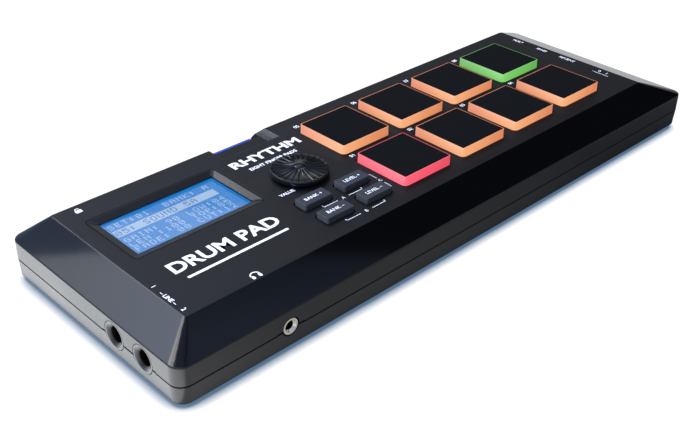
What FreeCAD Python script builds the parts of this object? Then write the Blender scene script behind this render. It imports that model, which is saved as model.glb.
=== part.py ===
import FreeCAD, Part
import math
import os

V = FreeCAD.Vector

# A sampling drum pad: a low flat case with a display, a dial, four keys and eight lit pads.
# All sizes are millimetres. X runs along the length, Y from the player to the rear, Z up.
# The origin is on the table, under the middle of the case.

# Top face, from its left end to the right
display_margin = 23.4
bezel_length = 63.0
display_key_gap = 6.35
key_length = 14.7
key_column_gap = 7.0
key_pad_gap = 7.1
pad_size = 29.5
pad_spacing = 7.5
pad_columns = 4
pad_rows = 2
right_margin = 38.25

# Top face, from the front to the rear
front_margin = 25.75
rear_margin = 17.75
bezel_width = 35.2
bezel_rear_offset = 0.25
key_width = 7.0
key_row_gap = 6.0
key_front_offset = 0.65
dial_diameter = 25.4
dial_key_gap = 4.2

# Case heights, from the table up
foot_height = 1.9
lower_height = 8.25
upper_band = 8.35
bevel_drop = 5.3

# Case outline and walls
corner_radius = 5.4
top_corner_radius = 1.3
bevel_end = 16.2
bevel_front = 16.6
bevel_rear = 4.7
wall = 2.2
top_wall = 2.2
floor_wall = 2.0
cavity_shoulder = 1.5
cavity_bevel_inset = 1.6
lower_draft = 0.5
bottom_round = 0.8
shell_edge_round = 0.4
parting_gap = 0.3
lip_height = 1.5
lip_thickness = 0.8
lip_gap = 0.2
parting_step = 0.6
line_jack_step_margin = 7.3
mini_jack_step_margin = 6.3
step_depth = 1.1

# Clearances
through_cut = 2.0
level_tolerance = 0.001
seat_gap = 0.1
wall_gap = 0.3
thread_gap = 0.05
running_gap = 0.05
groove_gap = 0.25
moving_gap = 0.45
under_plate_gap = 0.3

# Screws and bosses
screw_end_inset = 7.0
screw_side_inset = 6.0
screw_columns = 5
case_screw_radius = 1.4
case_screw_head_radius = 2.8
case_screw_head_height = 1.8
case_screw_bite = 6.2
case_screw_hole_gap = 0.2
case_boss_radius = 3.2
case_post_radius = 4.2
screw_sink = 1.0
driver_socket_radius = 1.1
driver_socket_depth = 0.9
board_screw_radius = 1.1
board_screw_head_radius = 2.2
board_screw_head_height = 1.5
board_screw_bite = 2.8
board_boss_radius = 2.2
board_boss_clear = 0.8
board_edge = 3.6

# Boards
board_thickness = 1.6
board_drop = 4.0
board_gap = 2.0
board_left_border = 5.9
board_front_border = 7.0
board_left_screw_inset = 2.5
key_board_border = 3.3
pad_board_left_border = 1.75
pad_board_right_border = 9.15

# Pads
pad_rise = 4.0
pad_top_inset = 0.75
pad_rim_inset = 0.35
pad_rim_drop = 0.1
pad_base_radius = 2.0
pad_rim_radius = 0.9
pad_top_radius = 0.5
pad_top_thickness = 1.6
pad_wall = 2.0
pad_flange = 1.6
pad_flange_thickness = 1.2
pad_stem_size = 14.0
pad_travel = 0.8
pad_stop_gap = 0.1
sensor_size = 18.0
sensor_thickness = 0.5
led_length = 3.5
led_width = 2.8
led_height = 1.0
led_offset = 12.2

# Display
bezel_border = 3.5
bezel_front_shift = 0.3
bezel_radius = 2.0
bezel_rim = 0.5
bezel_dish = 0.9
bezel_wall_depth = 0.9
bezel_flange = 1.5
bezel_flange_thickness = 1.0
lens_overlap = 1.5
lens_thickness = 0.8
lcd_thickness = 2.0
lcd_frame_wall = 1.4

# Dial and its encoder
dial_foot_gap = 0.8
dial_side_height = 2.4
dial_hub_rise = 1.4
dial_hub_radius = 2.8
dial_dish = 0.5
dial_dish_rise = 0.12
dial_hub_crown = 0.06
dial_rim_width = 0.9
dial_rim_chamfer = 0.5
dial_grooves = 24
dial_groove_width = 0.35
dial_groove_depth = 0.35
encoder_size = 12.0
encoder_height = 3.8
encoder_collar_radius = 3.6
encoder_collar_height = 1.9
encoder_shaft_radius = 2.5
encoder_floor = 0.8
dial_hole_gap = 0.5

# Keys and their switches
key_rise = 2.4
key_radius = 0.8
key_edge_round = 0.35
key_gap = 0.6
key_flange = 1.2
key_flange_thickness = 0.9
key_travel = 0.4
switch_size = 6.0
switch_height = 1.9
switch_floor = 0.7
plunger_radius = 1.7
plunger_gap = 0.1

# Memory card, its socket and the recess above it
recess_length = 15.0
recess_depth = 2.0
recess_wall_slope = 0.4
recess_facet_run = 2.2
recess_facet_drop = 1.2
recess_toe_run = 2.2
recess_span = 31.5
recess_floor_wall = 1.0
recess_floor_end = 6.1
recess_surround = 1.2
card_length = 32.0
card_width = 24.0
card_thickness = 2.1
card_corner = 4.0
card_end_inset = 2.5
card_gap = 0.15
card_left_inset = 0.3
card_socket_wall = 0.35
card_socket_side = 0.7
card_socket_length = 28.0
card_slot_gap = 0.2

# Line jacks in the left end
line_jack_front_inset = 20.6
line_jack_pitch = 17.4
line_jack_rise = 1.65
line_collar_radius = 5.65
line_collar_gap = 0.25
line_bore_radius = 3.25
line_mouth_radius = 5.0
line_mouth_depth = 1.0
line_sleeve_wall = 0.65
line_sleeve_length = 6.0
line_collar_length = 8.5
line_body_width = 15.6
line_body_height = 11.6
line_body_length = 28.0
line_ledge_length = 5.0
line_bore_depth = 34.5
line_rest_inset = 3.0
line_rib_thickness = 1.2
line_rib_drop = 2.0

# Small round jacks: one in the front wall and two in the right end
phones_x_inset = 49.7
mini_jack_rise = 1.05
mini_bore_radius = 1.8
mini_body_width = 8.0
mini_body_height = 6.0
mini_body_length = 13.5
mini_bore_depth = 15.0
phones_ring_radius = 3.4
phones_ring_length = 3.0
phones_ring_mouth = 2.6
phones_ring_mouth_depth = 0.8
phones_ring_sink = 0.2
phones_hole_radius = 4.0
mini_nose_radius = 3.0
mini_nose_gap = 0.2
control_out_y_inset = 35.4
control_pitch = 16.3

# Data port and power switch in the right end
port_y_inset = 19.6
port_width = 7.7
port_height = 3.95
port_length = 9.2
port_sheet = 0.4
port_sink = 0.4
port_hole_gap = 0.4
tongue_width = 4.6
tongue_thickness = 1.2
tongue_length = 6.0
port_back_thickness = 1.2
switch_front_inset = 34.2
power_body_length = 9.0
power_body_depth = 4.6
power_body_height = 5.2
power_body_gap = 0.5
power_body_wall = 0.8
slider_length = 3.0
slider_height = 2.4
slider_sink = 0.3
slider_travel = 3.0
slider_gap = 0.3

# Jack board and end board
jack_board_right = 13.8
jack_board_rear = 6.0
jack_board_front_gap = 1.8
end_board_overlap = 10.0
end_board_right_gap = 0.6
end_board_front = 11.5
end_board_screw_inset = 10.0

# Ribbon cables, with the plug block at each end
ribbon_width = 14.0
ribbon_thickness = 0.8
ribbon_block = 4.0
ribbon_block_height = 2.4

# Lock slot in the rear wall
lock_x_inset = 26.0
lock_below_band = 4.4
lock_slot_length = 7.2
lock_slot_height = 3.2
lock_plate_length = 14.0
lock_plate_height = 5.6
lock_plate_thickness = 1.2

# Rubber feet
foot_radius = 6.0
foot_sink = 0.5
foot_sink_gap = 0.2
foot_end_inset = 19.5
foot_side_inset = 15.0

# Chips under the main board
chip_size = 14.0
chip_thickness = 1.4
chip_pitch = 24.0
chip_count = 3

# Case extents, from the layout above
pads_length = pad_columns * pad_size + (pad_columns - 1) * pad_spacing
pads_width = pad_rows * pad_size + (pad_rows - 1) * pad_spacing
keys_length = 2 * key_length + key_column_gap
case_length = display_margin + bezel_length + display_key_gap + keys_length + key_pad_gap
case_length += pads_length + right_margin
case_width = front_margin + pads_width + rear_margin
left_end = -case_length / 2
right_end = case_length / 2
front_side = -case_width / 2
rear_side = case_width / 2

# Heights
case_bottom = foot_height
floor_z = case_bottom + floor_wall
parting_z = case_bottom + lower_height
lower_top = parting_z - parting_gap / 2
upper_bottom = parting_z + parting_gap / 2
band_top = parting_z + upper_band
top_z = band_top + bevel_drop
plate_under = top_z - top_wall
board_top = plate_under - board_drop
board_under = board_top - board_thickness
line_axis_z = parting_z + line_jack_rise
mini_axis_z = parting_z + mini_jack_rise
low_board_top = mini_axis_z - mini_body_height / 2
low_board_under = low_board_top - board_thickness

# Places on the top face
pad_pitch = pad_size + pad_spacing
bezel_x = left_end + display_margin + bezel_length / 2
first_key_x = left_end + display_margin + bezel_length + display_key_gap + key_length / 2
second_key_x = first_key_x + key_length + key_column_gap
controls_x = (first_key_x + second_key_x) / 2
first_pad_x = second_key_x + key_length / 2 + key_pad_gap + pad_size / 2
last_pad_x = first_pad_x + (pad_columns - 1) * pad_pitch
first_pad_y = front_side + front_margin + pad_size / 2
last_pad_y = first_pad_y + (pad_rows - 1) * pad_pitch
pads_front = first_pad_y - pad_size / 2
pads_rear = last_pad_y + pad_size / 2
bezel_y = pads_rear - bezel_rear_offset - bezel_width / 2
first_key_y = pads_front + key_front_offset + key_width / 2
second_key_y = first_key_y + key_width + key_row_gap
dial_y = second_key_y + key_width / 2 + dial_key_gap + dial_diameter / 2
key_places = [(x, y) for y in (first_key_y, second_key_y) for x in (first_key_x, second_key_x)]
pad_places = [
    (first_pad_x + column * pad_pitch, first_pad_y + row * pad_pitch)
    for row in range(pad_rows)
    for column in range(pad_columns)
]

# Board outlines
pad_board_left = first_pad_x - pad_size / 2 - pad_flange - pad_board_left_border
main_board_right = pad_board_left - board_gap
main_board_left = bezel_x - bezel_length / 2 - board_left_border
board_rear = pads_rear + pad_flange + board_boss_clear + board_boss_radius + board_edge
display_board_front = bezel_y - bezel_width / 2 - board_front_border
key_board_left = first_key_x - key_length / 2 - key_board_border

# Screw places
case_screw_front = front_side + screw_side_inset
case_screw_rear = rear_side - screw_side_inset
case_screw_first = left_end + screw_end_inset
case_screw_step = (case_length - 2 * screw_end_inset) / (screw_columns - 1)
case_screw_places = [
    (case_screw_first + column * case_screw_step, y)
    for y in (case_screw_front, case_screw_rear)
    for column in range(screw_columns)
]
case_screw_top = upper_bottom + case_screw_bite
board_boss_rear = board_rear - board_edge
pad_boss_front = pads_front - pad_flange - board_boss_clear - board_boss_radius
pad_board_screws = [
    (first_pad_x + (column + 0.5) * pad_pitch, y)
    for column in (0, pad_columns - 2)
    for y in (pad_boss_front, board_boss_rear)
]
pad_board_front = pad_boss_front - board_edge
pad_board_right = last_pad_x + pad_size / 2 + pad_flange + pad_board_right_border
recess_left = controls_x - recess_span / 2
recess_right = controls_x + recess_span / 2
recess_facet_left = recess_right - recess_facet_run
recess_floor_right = recess_facet_left - recess_toe_run
recess_front = rear_side - recess_length
recess_floor_z = top_z - recess_depth
recess_floor_under = recess_floor_z - recess_floor_wall
main_board_screws = [
    (main_board_left + board_left_screw_inset, board_boss_rear),
    (main_board_left + board_left_screw_inset, display_board_front + board_edge),
    ((bezel_x + bezel_length / 2 + recess_left) / 2, board_boss_rear),
    (main_board_right - board_edge, pad_board_front + board_edge),
    (key_board_left + board_edge, pad_board_front + board_edge),
    (main_board_right - board_edge, recess_front - recess_surround - board_boss_clear - board_boss_radius),
]
high_board_screws = main_board_screws + pad_board_screws

# The low boards' outlines and screws
line_front_y = front_side + line_jack_front_inset
line_rear_y = line_front_y + line_jack_pitch
line_jack_places = [line_rear_y, line_front_y]
line_rib_steps = range(len(line_jack_places) + 1)
line_rib_places = [line_front_y + (step - 0.5) * line_jack_pitch for step in line_rib_steps]
line_body_start = left_end + line_collar_length
line_body_end = line_body_start + line_body_length
line_ledge_end = line_body_end + line_ledge_length
phones_x = left_end + phones_x_inset
jack_board_x1 = phones_x + jack_board_right
jack_board_y0 = front_side + wall + jack_board_front_gap
jack_board_y1 = display_board_front + jack_board_rear
end_board_x0 = pad_board_right - end_board_overlap
end_board_x1 = right_end - wall - end_board_right_gap
end_board_y0 = case_screw_front + end_board_front
end_board_y1 = case_screw_rear - case_post_radius - board_boss_clear
power_y = front_side + switch_front_inset
port_y = rear_side - port_y_inset
control_out_y = rear_side - control_out_y_inset
control_in_y = control_out_y - control_pitch
low_board_screws = [
    (jack_board_x1 - board_edge, (jack_board_y0 + jack_board_y1) / 2),
    ((line_body_end + line_ledge_end) / 2, jack_board_y1 - board_edge),
    (end_board_x0 + end_board_screw_inset, end_board_y0 + board_edge),
    (end_board_x0 + end_board_screw_inset, end_board_y1 - board_edge),
]

# The memory card under its recess
card_x = recess_left + card_left_inset + card_width / 2
card_socket_z1 = recess_floor_under - card_slot_gap
card_z1 = card_socket_z1 - card_socket_wall - running_gap
card_z0 = card_z1 - card_thickness
card_y1 = rear_side - card_end_inset
notch_z = card_z0 - card_slot_gap
notch_y = rear_side - recess_floor_end

# Heights inside the display
bezel_bottom = plate_under - bezel_flange_thickness
lens_top = top_z - bezel_dish - bezel_wall_depth
window_length = bezel_length - 2 * bezel_border
window_width = bezel_width - 2 * bezel_border - 2 * bezel_front_shift

# Sizes and heights inside a pad
pad_top_size = pad_size - 2 * pad_top_inset
pad_rim_size = pad_size - 2 * pad_rim_inset
pad_top_z = top_z + pad_rise
pad_plate_under = pad_top_z - pad_top_thickness
flange_top = plate_under - under_plate_gap
flange_bottom = flange_top - pad_flange_thickness
pad_stem_bottom = board_top + sensor_thickness + pad_travel + pad_stop_gap

# Heights of the dial and the keys
encoder_top = board_top + encoder_height
collar_top = encoder_top + encoder_collar_height
dial_foot_z = top_z + dial_foot_gap
shaft_top = dial_foot_z + dial_side_height
key_top_z = top_z + key_rise
key_bottom = plate_under - under_plate_gap - key_flange_thickness

# Heights and places near the floor
case_head_bottom = case_bottom + screw_sink
case_head_top = case_head_bottom + case_screw_head_height
low_screw_end = floor_z + wall_gap
mini_body_top = low_board_top + mini_body_height
slider_z = low_board_top + power_body_height / 2
foot_places = [
    (x, y)
    for x in (left_end + foot_end_inset, right_end - foot_end_inset)
    for y in (front_side + foot_side_inset, rear_side - foot_side_inset)
]


def block(x0, x1, y0, y1, z0, z1):
    """A box between two corners."""
    return Part.makeBox(x1 - x0, y1 - y0, z1 - z0, V(x0, y0, z0))


def centred_block(x, y, length, width, z0, z1):
    """A box about the upright line through x, y."""
    return block(x - length / 2, x + length / 2, y - width / 2, y + width / 2, z0, z1)


def rod(x, y, radius, z0, z1):
    """An upright round rod."""
    return Part.makeCylinder(radius, z1 - z0, V(x, y, z0))


def rod_x(y, z, radius, x0, x1):
    """A round rod along X."""
    return Part.makeCylinder(radius, x1 - x0, V(x0, y, z), V(1, 0, 0))


def rod_y(x, z, radius, y0, y1):
    """A round rod along Y."""
    return Part.makeCylinder(radius, y1 - y0, V(x, y0, z), V(0, 1, 0))


def round_outline(x0, x1, y0, y1, radius, z):
    """A closed rectangle with round corners, at height z."""
    corners = [
        (x1 - radius, y0 + radius, -90),
        (x1 - radius, y1 - radius, 0),
        (x0 + radius, y1 - radius, 90),
        (x0 + radius, y0 + radius, 180),
    ]
    arcs = []
    for x, y, start in corners:
        points = []
        for turn in (0, 45, 90):
            angle = math.radians(start + turn)
            points.append(V(x + radius * math.cos(angle), y + radius * math.sin(angle), z))
        arcs.append(points)
    edges = []
    for index, arc in enumerate(arcs):
        next_arc = arcs[(index + 1) % len(arcs)]
        edges.append(Part.Arc(*arc).toShape())
        edges.append(Part.LineSegment(arc[2], next_arc[0]).toShape())
    return Part.Wire(edges)


def round_block(x, y, length, width, radius, z0, z1):
    """An upright block with round corners about the line through x, y."""
    outline = round_outline(x - length / 2, x + length / 2, y - width / 2, y + width / 2, radius, z0)
    return Part.Face(outline).extrude(V(0, 0, z1 - z0))


def square_loft(x, y, sections):
    """A solid through square outlines, each a (size, radius, z)."""
    outlines = []
    for size, radius, z in sections:
        half = size / 2
        outlines.append(round_outline(x - half, x + half, y - half, y + half, radius, z))
    return Part.makeLoft(outlines, True, True)


def case_outline(inset, radius, z):
    """The case's plan outline, drawn in by inset."""
    return round_outline(
        left_end + inset,
        right_end - inset,
        front_side + inset,
        rear_side - inset,
        radius,
        z,
    )


def top_outline(inset, z):
    """The top face's outline inside its four bevels, drawn in by inset."""
    return round_outline(
        left_end + bevel_end + inset,
        right_end - bevel_end - inset,
        front_side + bevel_front + inset,
        rear_side - bevel_rear - inset,
        top_corner_radius,
        z,
    )


def case_ring(inset0, inset1, z0, z1):
    """An upright band between two insets of the case's outline."""
    outer = Part.Face(case_outline(inset0, corner_radius - inset0, z0)).extrude(V(0, 0, z1 - z0))
    inner = Part.Face(case_outline(inset1, corner_radius - inset1, z0)).extrude(V(0, 0, z1 - z0))
    return outer.cut(inner)


def edges_at(shape, z):
    """The edges that lie at height z."""
    found = []
    for edge in shape.Edges:
        box = edge.BoundBox
        if abs(box.ZMin - z) < level_tolerance and abs(box.ZMax - z) < level_tolerance:
            found.append(edge)
    return found


def fused(shapes):
    """One shape from several."""
    return shapes[0].fuse(shapes[1:]).removeSplitter()


def save(name, shape):
    """Write one node's solids."""
    shape.exportStep("parts/%s.step" % name)


def line_jack_wall_cut():
    """The round holes for the line jacks' collars."""
    radius = line_collar_radius + line_collar_gap
    cuts = []
    for y in line_jack_places:
        cuts.append(rod_x(y, line_axis_z, radius, left_end - through_cut, line_body_start))
    return cuts


def right_wall_cuts():
    """The holes in the right end: two small jacks, the data port and the power switch's slot."""
    x0 = right_end - wall - through_cut
    x1 = right_end + through_cut
    cuts = []
    for y in (control_out_y, control_in_y):
        cuts.append(rod_x(y, mini_axis_z, mini_nose_radius + mini_nose_gap, x0, x1))
    half = port_width / 2 + port_hole_gap
    z0 = low_board_top - port_hole_gap
    z1 = low_board_top + port_height + port_hole_gap
    cuts.append(block(x0, x1, port_y - half, port_y + half, z0, z1))
    y0 = power_y - slider_length / 2 - slider_gap
    y1 = power_y + slider_length / 2 + slider_travel + slider_gap
    half = slider_height / 2 + slider_gap
    slider_z = low_board_top + power_body_height / 2
    cuts.append(block(x0, x1, y0, y1, slider_z - half, slider_z + half))
    return cuts


def phones_wall_cut():
    """The round hole for the phones jack's ring."""
    y0 = front_side - through_cut
    y1 = front_side + wall + through_cut
    return rod_y(phones_x, mini_axis_z, phones_hole_radius, y0, y1)


def wall_cuts():
    """Every hole that both half shells share."""
    return line_jack_wall_cut() + right_wall_cuts() + [phones_wall_cut()]


def parting_tabs(margin, z0, z1):
    """The raised stretches of the parting line beside the jacks, grown by margin."""
    reach = line_jack_step_margin + margin
    left_tab = block(left_end, left_end + step_depth, line_front_y - reach, line_rear_y + reach, z0, z1)
    reach = mini_jack_step_margin + margin
    front_tab = block(phones_x - reach, phones_x + reach, front_side, front_side + step_depth, z0, z1)
    return [left_tab, front_tab]


def recess_cut():
    """The hollow over the memory card: steep at its left, a facet and a sloped toe at its right."""
    above = top_z + through_cut
    points = [
        V(recess_left, recess_front, recess_floor_z),
        V(recess_floor_right, recess_front, recess_floor_z),
        V(recess_facet_left, recess_front, top_z - recess_facet_drop),
        V(recess_right, recess_front, top_z),
        V(recess_right, recess_front, above),
        V(recess_left - recess_wall_slope, recess_front, above),
        V(recess_left - recess_wall_slope, recess_front, top_z),
    ]
    face = Part.Face(Part.makePolygon(points + points[:1]))
    return face.extrude(V(0, recess_length + through_cut, 0))


def upper_shell():
    """The top half of the case: side band, four bevels, the top face and its openings."""
    outlines = [case_outline(0, corner_radius, upper_bottom), case_outline(0, corner_radius, band_top)]
    outer = Part.makeLoft(outlines + [top_outline(0, top_z)], True, True)
    rounded = edges_at(outer, top_z) + edges_at(outer, band_top)
    outer = outer.makeFillet(shell_edge_round, rounded)
    inner_radius = corner_radius - wall
    cavity = Part.makeLoft(
        [
            case_outline(wall, inner_radius, upper_bottom - through_cut),
            case_outline(wall, inner_radius, band_top - cavity_shoulder),
            top_outline(cavity_bevel_inset, plate_under),
        ],
        True,
        True,
    )
    shell = outer.cut(cavity)
    bosses = []
    for x, y in case_screw_places:
        bosses.append(rod(x, y, case_boss_radius, upper_bottom, top_z).common(outer))
    for x, y in high_board_screws:
        bosses.append(rod(x, y, board_boss_radius, board_top, plate_under + top_wall / 2).common(outer))
    bosses.append(
        block(
            recess_left - recess_surround,
            recess_right + recess_surround,
            recess_front - recess_surround,
            rear_side,
            recess_floor_under,
            plate_under + top_wall / 2,
        ).common(outer)
    )
    shell = fused([shell] + bosses)
    cuts = [recess_cut()]
    notch_end = rear_side + through_cut
    cuts.append(block(recess_left, recess_floor_right, notch_y, notch_end, notch_z, top_z))
    half = card_width / 2 + card_gap
    slot_y0 = notch_y - through_cut
    cuts.append(block(card_x - half, card_x + half, slot_y0, notch_end, notch_z, recess_floor_under))
    rebate = wall - lip_thickness - lip_gap
    cuts.append(case_ring(rebate, wall, upper_bottom, lower_top + lip_height + lip_gap))
    cuts += parting_tabs(groove_gap, upper_bottom, upper_bottom + parting_step)
    cuts += wall_cuts()
    hole = pad_size + 2 * moving_gap
    hole_start = plate_under - through_cut
    for x, y in pad_places:
        cuts.append(round_block(x, y, hole, hole, pad_base_radius + moving_gap, hole_start, top_z))
    cuts.append(
        round_block(
            bezel_x,
            bezel_y,
            bezel_length + 2 * groove_gap,
            bezel_width + 2 * groove_gap,
            bezel_radius + groove_gap,
            hole_start,
            top_z,
        )
    )
    cuts.append(rod(controls_x, dial_y, encoder_collar_radius + dial_hole_gap, hole_start, top_z))
    for x, y in key_places:
        cuts.append(
            round_block(
                x,
                y,
                key_length + 2 * key_gap,
                key_width + 2 * key_gap,
                key_radius + key_gap,
                hole_start,
                top_z,
            )
        )
    for x, y in case_screw_places:
        hole_top = case_screw_top + seat_gap
        cuts.append(rod(x, y, case_screw_radius + thread_gap, upper_bottom - through_cut, hole_top))
    for x, y in high_board_screws:
        hole_top = board_top + board_screw_bite + seat_gap
        cuts.append(rod(x, y, board_screw_radius + thread_gap, board_under, hole_top))
    lock_z = band_top - lock_below_band
    lock_x = left_end + lock_x_inset
    half_slot = lock_slot_length / 2
    cuts.append(
        block(
            lock_x - half_slot,
            lock_x + half_slot,
            rear_side - wall - through_cut,
            rear_side + through_cut,
            lock_z - lock_slot_height / 2,
            lock_z + lock_slot_height / 2,
        )
    )
    return shell.cut(cuts)


def lower_shell():
    """The bottom tray: drafted sides, posts for the screws and the boards, and a lip for the top half."""
    bottom_radius = corner_radius - lower_draft
    outlines = [
        case_outline(lower_draft, bottom_radius, case_bottom),
        case_outline(0, corner_radius, lower_top),
    ]
    outer = Part.makeLoft(outlines, True, True)
    outer = outer.makeFillet(bottom_round, edges_at(outer, case_bottom))
    inner_radius = corner_radius - wall
    cavity = Part.makeLoft(
        [
            case_outline(wall + lower_draft, inner_radius - lower_draft, floor_z),
            case_outline(wall, inner_radius, lower_top),
            case_outline(wall, inner_radius, lower_top + through_cut),
        ],
        True,
        True,
    )
    parts = [outer.cut(cavity)]
    parts.append(case_ring(wall - lip_thickness, wall, lower_top, lower_top + lip_height))
    parts += parting_tabs(0, lower_top, lower_top + parting_step)
    foot_z = floor_z - floor_wall / 2
    for x, y in case_screw_places:
        parts.append(rod(x, y, case_post_radius, foot_z, upper_bottom).common(cavity_reach()))
    for x, y in low_board_screws:
        parts.append(rod(x, y, board_boss_radius, foot_z, low_board_under))
    for y in line_jack_places:
        half = line_body_width / 2 - line_rest_inset
        x0 = line_body_start + line_rest_inset
        x1 = line_body_end - line_rest_inset
        rest_top = line_axis_z - line_body_height / 2
        parts.append(block(x0, x1, y - half, y + half, foot_z, rest_top))
    half = line_rib_thickness / 2
    for y in line_rib_places:
        rib_top = line_axis_z - line_rib_drop
        parts.append(block(line_body_start, line_body_end, y - half, y + half, foot_z, rib_top))
    shell = fused(parts)
    cuts = wall_cuts()
    for x, y in case_screw_places:
        cuts.append(rod(x, y, case_screw_head_radius + case_screw_hole_gap, 0, case_head_top))
        cuts.append(rod(x, y, case_screw_radius + case_screw_hole_gap, 0, upper_bottom + through_cut))
    for x, y in low_board_screws:
        cuts.append(rod(x, y, board_screw_radius + thread_gap, low_screw_end - seat_gap, low_board_top))
    for x, y in foot_places:
        cuts.append(rod(x, y, foot_radius + foot_sink_gap, 0, case_bottom + foot_sink))
    return shell.cut(cuts)


def cavity_reach():
    """The room inside the case's side walls, over its whole height."""
    outline = case_outline(wall / 2, corner_radius - wall / 2, case_bottom)
    return Part.Face(outline).extrude(V(0, 0, top_z - case_bottom))


def display_bezel():
    """The display's frame: flush with the top face, dished towards a straight-sided window."""
    plate = round_block(bezel_x, bezel_y, bezel_length, bezel_width, bezel_radius, bezel_bottom, top_z)
    flange_length = bezel_length + 2 * bezel_flange
    flange_width = bezel_width + 2 * bezel_flange
    flange = round_block(
        bezel_x,
        bezel_y,
        flange_length,
        flange_width,
        bezel_radius,
        bezel_bottom,
        plate_under,
    )
    frame = plate.fuse(flange).removeSplitter()
    outlines = []
    for length, width, z in (
        (bezel_length - 2 * bezel_rim, bezel_width - 2 * bezel_rim, top_z),
        (window_length, window_width, top_z - bezel_dish),
    ):
        x0 = bezel_x - length / 2
        y0 = bezel_y - width / 2
        outlines.append(round_outline(x0, x0 + length, y0, y0 + width, bezel_radius - bezel_rim, z))
    frame = frame.cut(Part.makeLoft(outlines, True, True))
    frame = frame.cut(centred_block(bezel_x, bezel_y, window_length, window_width, bezel_bottom, top_z))
    pocket_length = window_length + 2 * lens_overlap + 2 * seat_gap
    pocket_width = window_width + 2 * lens_overlap + 2 * seat_gap
    return frame.cut(centred_block(bezel_x, bezel_y, pocket_length, pocket_width, bezel_bottom, lens_top))


def display_lens():
    """The clear sheet behind the display's frame."""
    length = window_length + 2 * lens_overlap
    width = window_width + 2 * lens_overlap
    return centred_block(bezel_x, bezel_y, length, width, lens_top - lens_thickness, lens_top)


def lcd_panel():
    """The display's glass sandwich."""
    z1 = lens_top - lens_thickness
    length = window_length + 2 * lens_overlap
    width = window_width + 2 * lens_overlap
    return centred_block(bezel_x, bezel_y, length, width, z1 - lcd_thickness, z1)


def lcd_frame():
    """The tray that holds the glass on the main board."""
    length = window_length + 2 * lens_overlap + 2 * seat_gap
    width = window_width + 2 * lens_overlap + 2 * seat_gap
    outer_length = length + 2 * lcd_frame_wall
    outer_width = width + 2 * lcd_frame_wall
    tray = centred_block(bezel_x, bezel_y, outer_length, outer_width, board_top, bezel_bottom)
    glass_bottom = lens_top - lens_thickness - lcd_thickness
    return tray.cut(centred_block(bezel_x, bezel_y, length, width, glass_bottom, top_z))


def pad_skirt(x, y):
    """The see-through wall of one pad, with the flange that keeps it under the top face."""
    sections = [
        (pad_size, pad_base_radius, flange_bottom),
        (pad_size, pad_base_radius, top_z),
        (pad_rim_size, pad_rim_radius, pad_top_z - pad_rim_drop),
    ]
    skirt = square_loft(x, y, sections)
    flange_size = pad_size + 2 * pad_flange
    flange = round_block(x, y, flange_size, flange_size, pad_base_radius, flange_bottom, flange_top)
    skirt = skirt.fuse(flange).removeSplitter()
    pocket = round_block(x, y, pad_top_size, pad_top_size, pad_top_radius, pad_plate_under, pad_top_z)
    hollow = pad_rim_size - 2 * pad_wall
    return skirt.cut(pocket).cut(centred_block(x, y, hollow, hollow, flange_bottom, pad_top_z))


def pad_top(x, y):
    """The black playing surface of one pad, with the stem that presses the sensor."""
    plate = round_block(x, y, pad_top_size, pad_top_size, pad_top_radius, pad_plate_under, pad_top_z)
    stem = centred_block(x, y, pad_stem_size, pad_stem_size, pad_stem_bottom, pad_plate_under)
    return plate.fuse(stem).removeSplitter()


def pad_sensors():
    """The pressure-sensing squares on the pad board."""
    squares = []
    sensor_top = board_top + sensor_thickness
    for x, y in pad_places:
        squares.append(centred_block(x, y, sensor_size, sensor_size, board_top, sensor_top))
    return Part.makeCompound(squares)


def pad_leds():
    """Two lamps under each pad's see-through wall."""
    lamps = []
    led_top = board_top + led_height
    for x, y in pad_places:
        for side in (-led_offset, led_offset):
            lamps.append(centred_block(x + side, y, led_width, led_length, board_top, led_top))
    return Part.makeCompound(lamps)


def screwed_board(outlines, screws, z0):
    """A circuit board from overlapping rectangles, with a clearance hole for each screw."""
    board = fused([block(x0, x1, y0, y1, z0, z0 + board_thickness) for x0, x1, y0, y1 in outlines])
    for x, y in screws:
        board = board.cut(rod(x, y, board_screw_radius + case_screw_hole_gap, z0, z0 + board_thickness))
    return board


def main_board():
    """The L-shaped board under the display, the dial, the keys and the card."""
    outlines = [
        (main_board_left, main_board_right, display_board_front, board_rear),
        (key_board_left, main_board_right, pad_board_front, board_rear),
    ]
    return screwed_board(outlines, main_board_screws, board_under)


def pad_board():
    """The board under the pads."""
    outline = (pad_board_left, pad_board_right, pad_board_front, board_rear)
    return screwed_board([outline], pad_board_screws, board_under)


def jack_board():
    """The low board behind the line jacks and under the headphone jack."""
    outlines = [
        (line_body_end + seat_gap, jack_board_x1, jack_board_y0, jack_board_y1),
    ]
    return screwed_board(outlines, low_board_screws[:2], low_board_under)


def end_board():
    """The low board behind the connectors in the right end."""
    outline = (end_board_x0, end_board_x1, end_board_y0, end_board_y1)
    return screwed_board([outline], low_board_screws[2:], low_board_under)


def board_chips():
    """The packaged circuits under the main board."""
    chips = []
    chip_bottom = board_under - chip_thickness
    for index in range(chip_count):
        x = bezel_x + (index - (chip_count - 1) / 2) * chip_pitch
        chips.append(centred_block(x, bezel_y, chip_size, chip_size, chip_bottom, board_under))
    return Part.makeCompound(chips)


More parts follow.
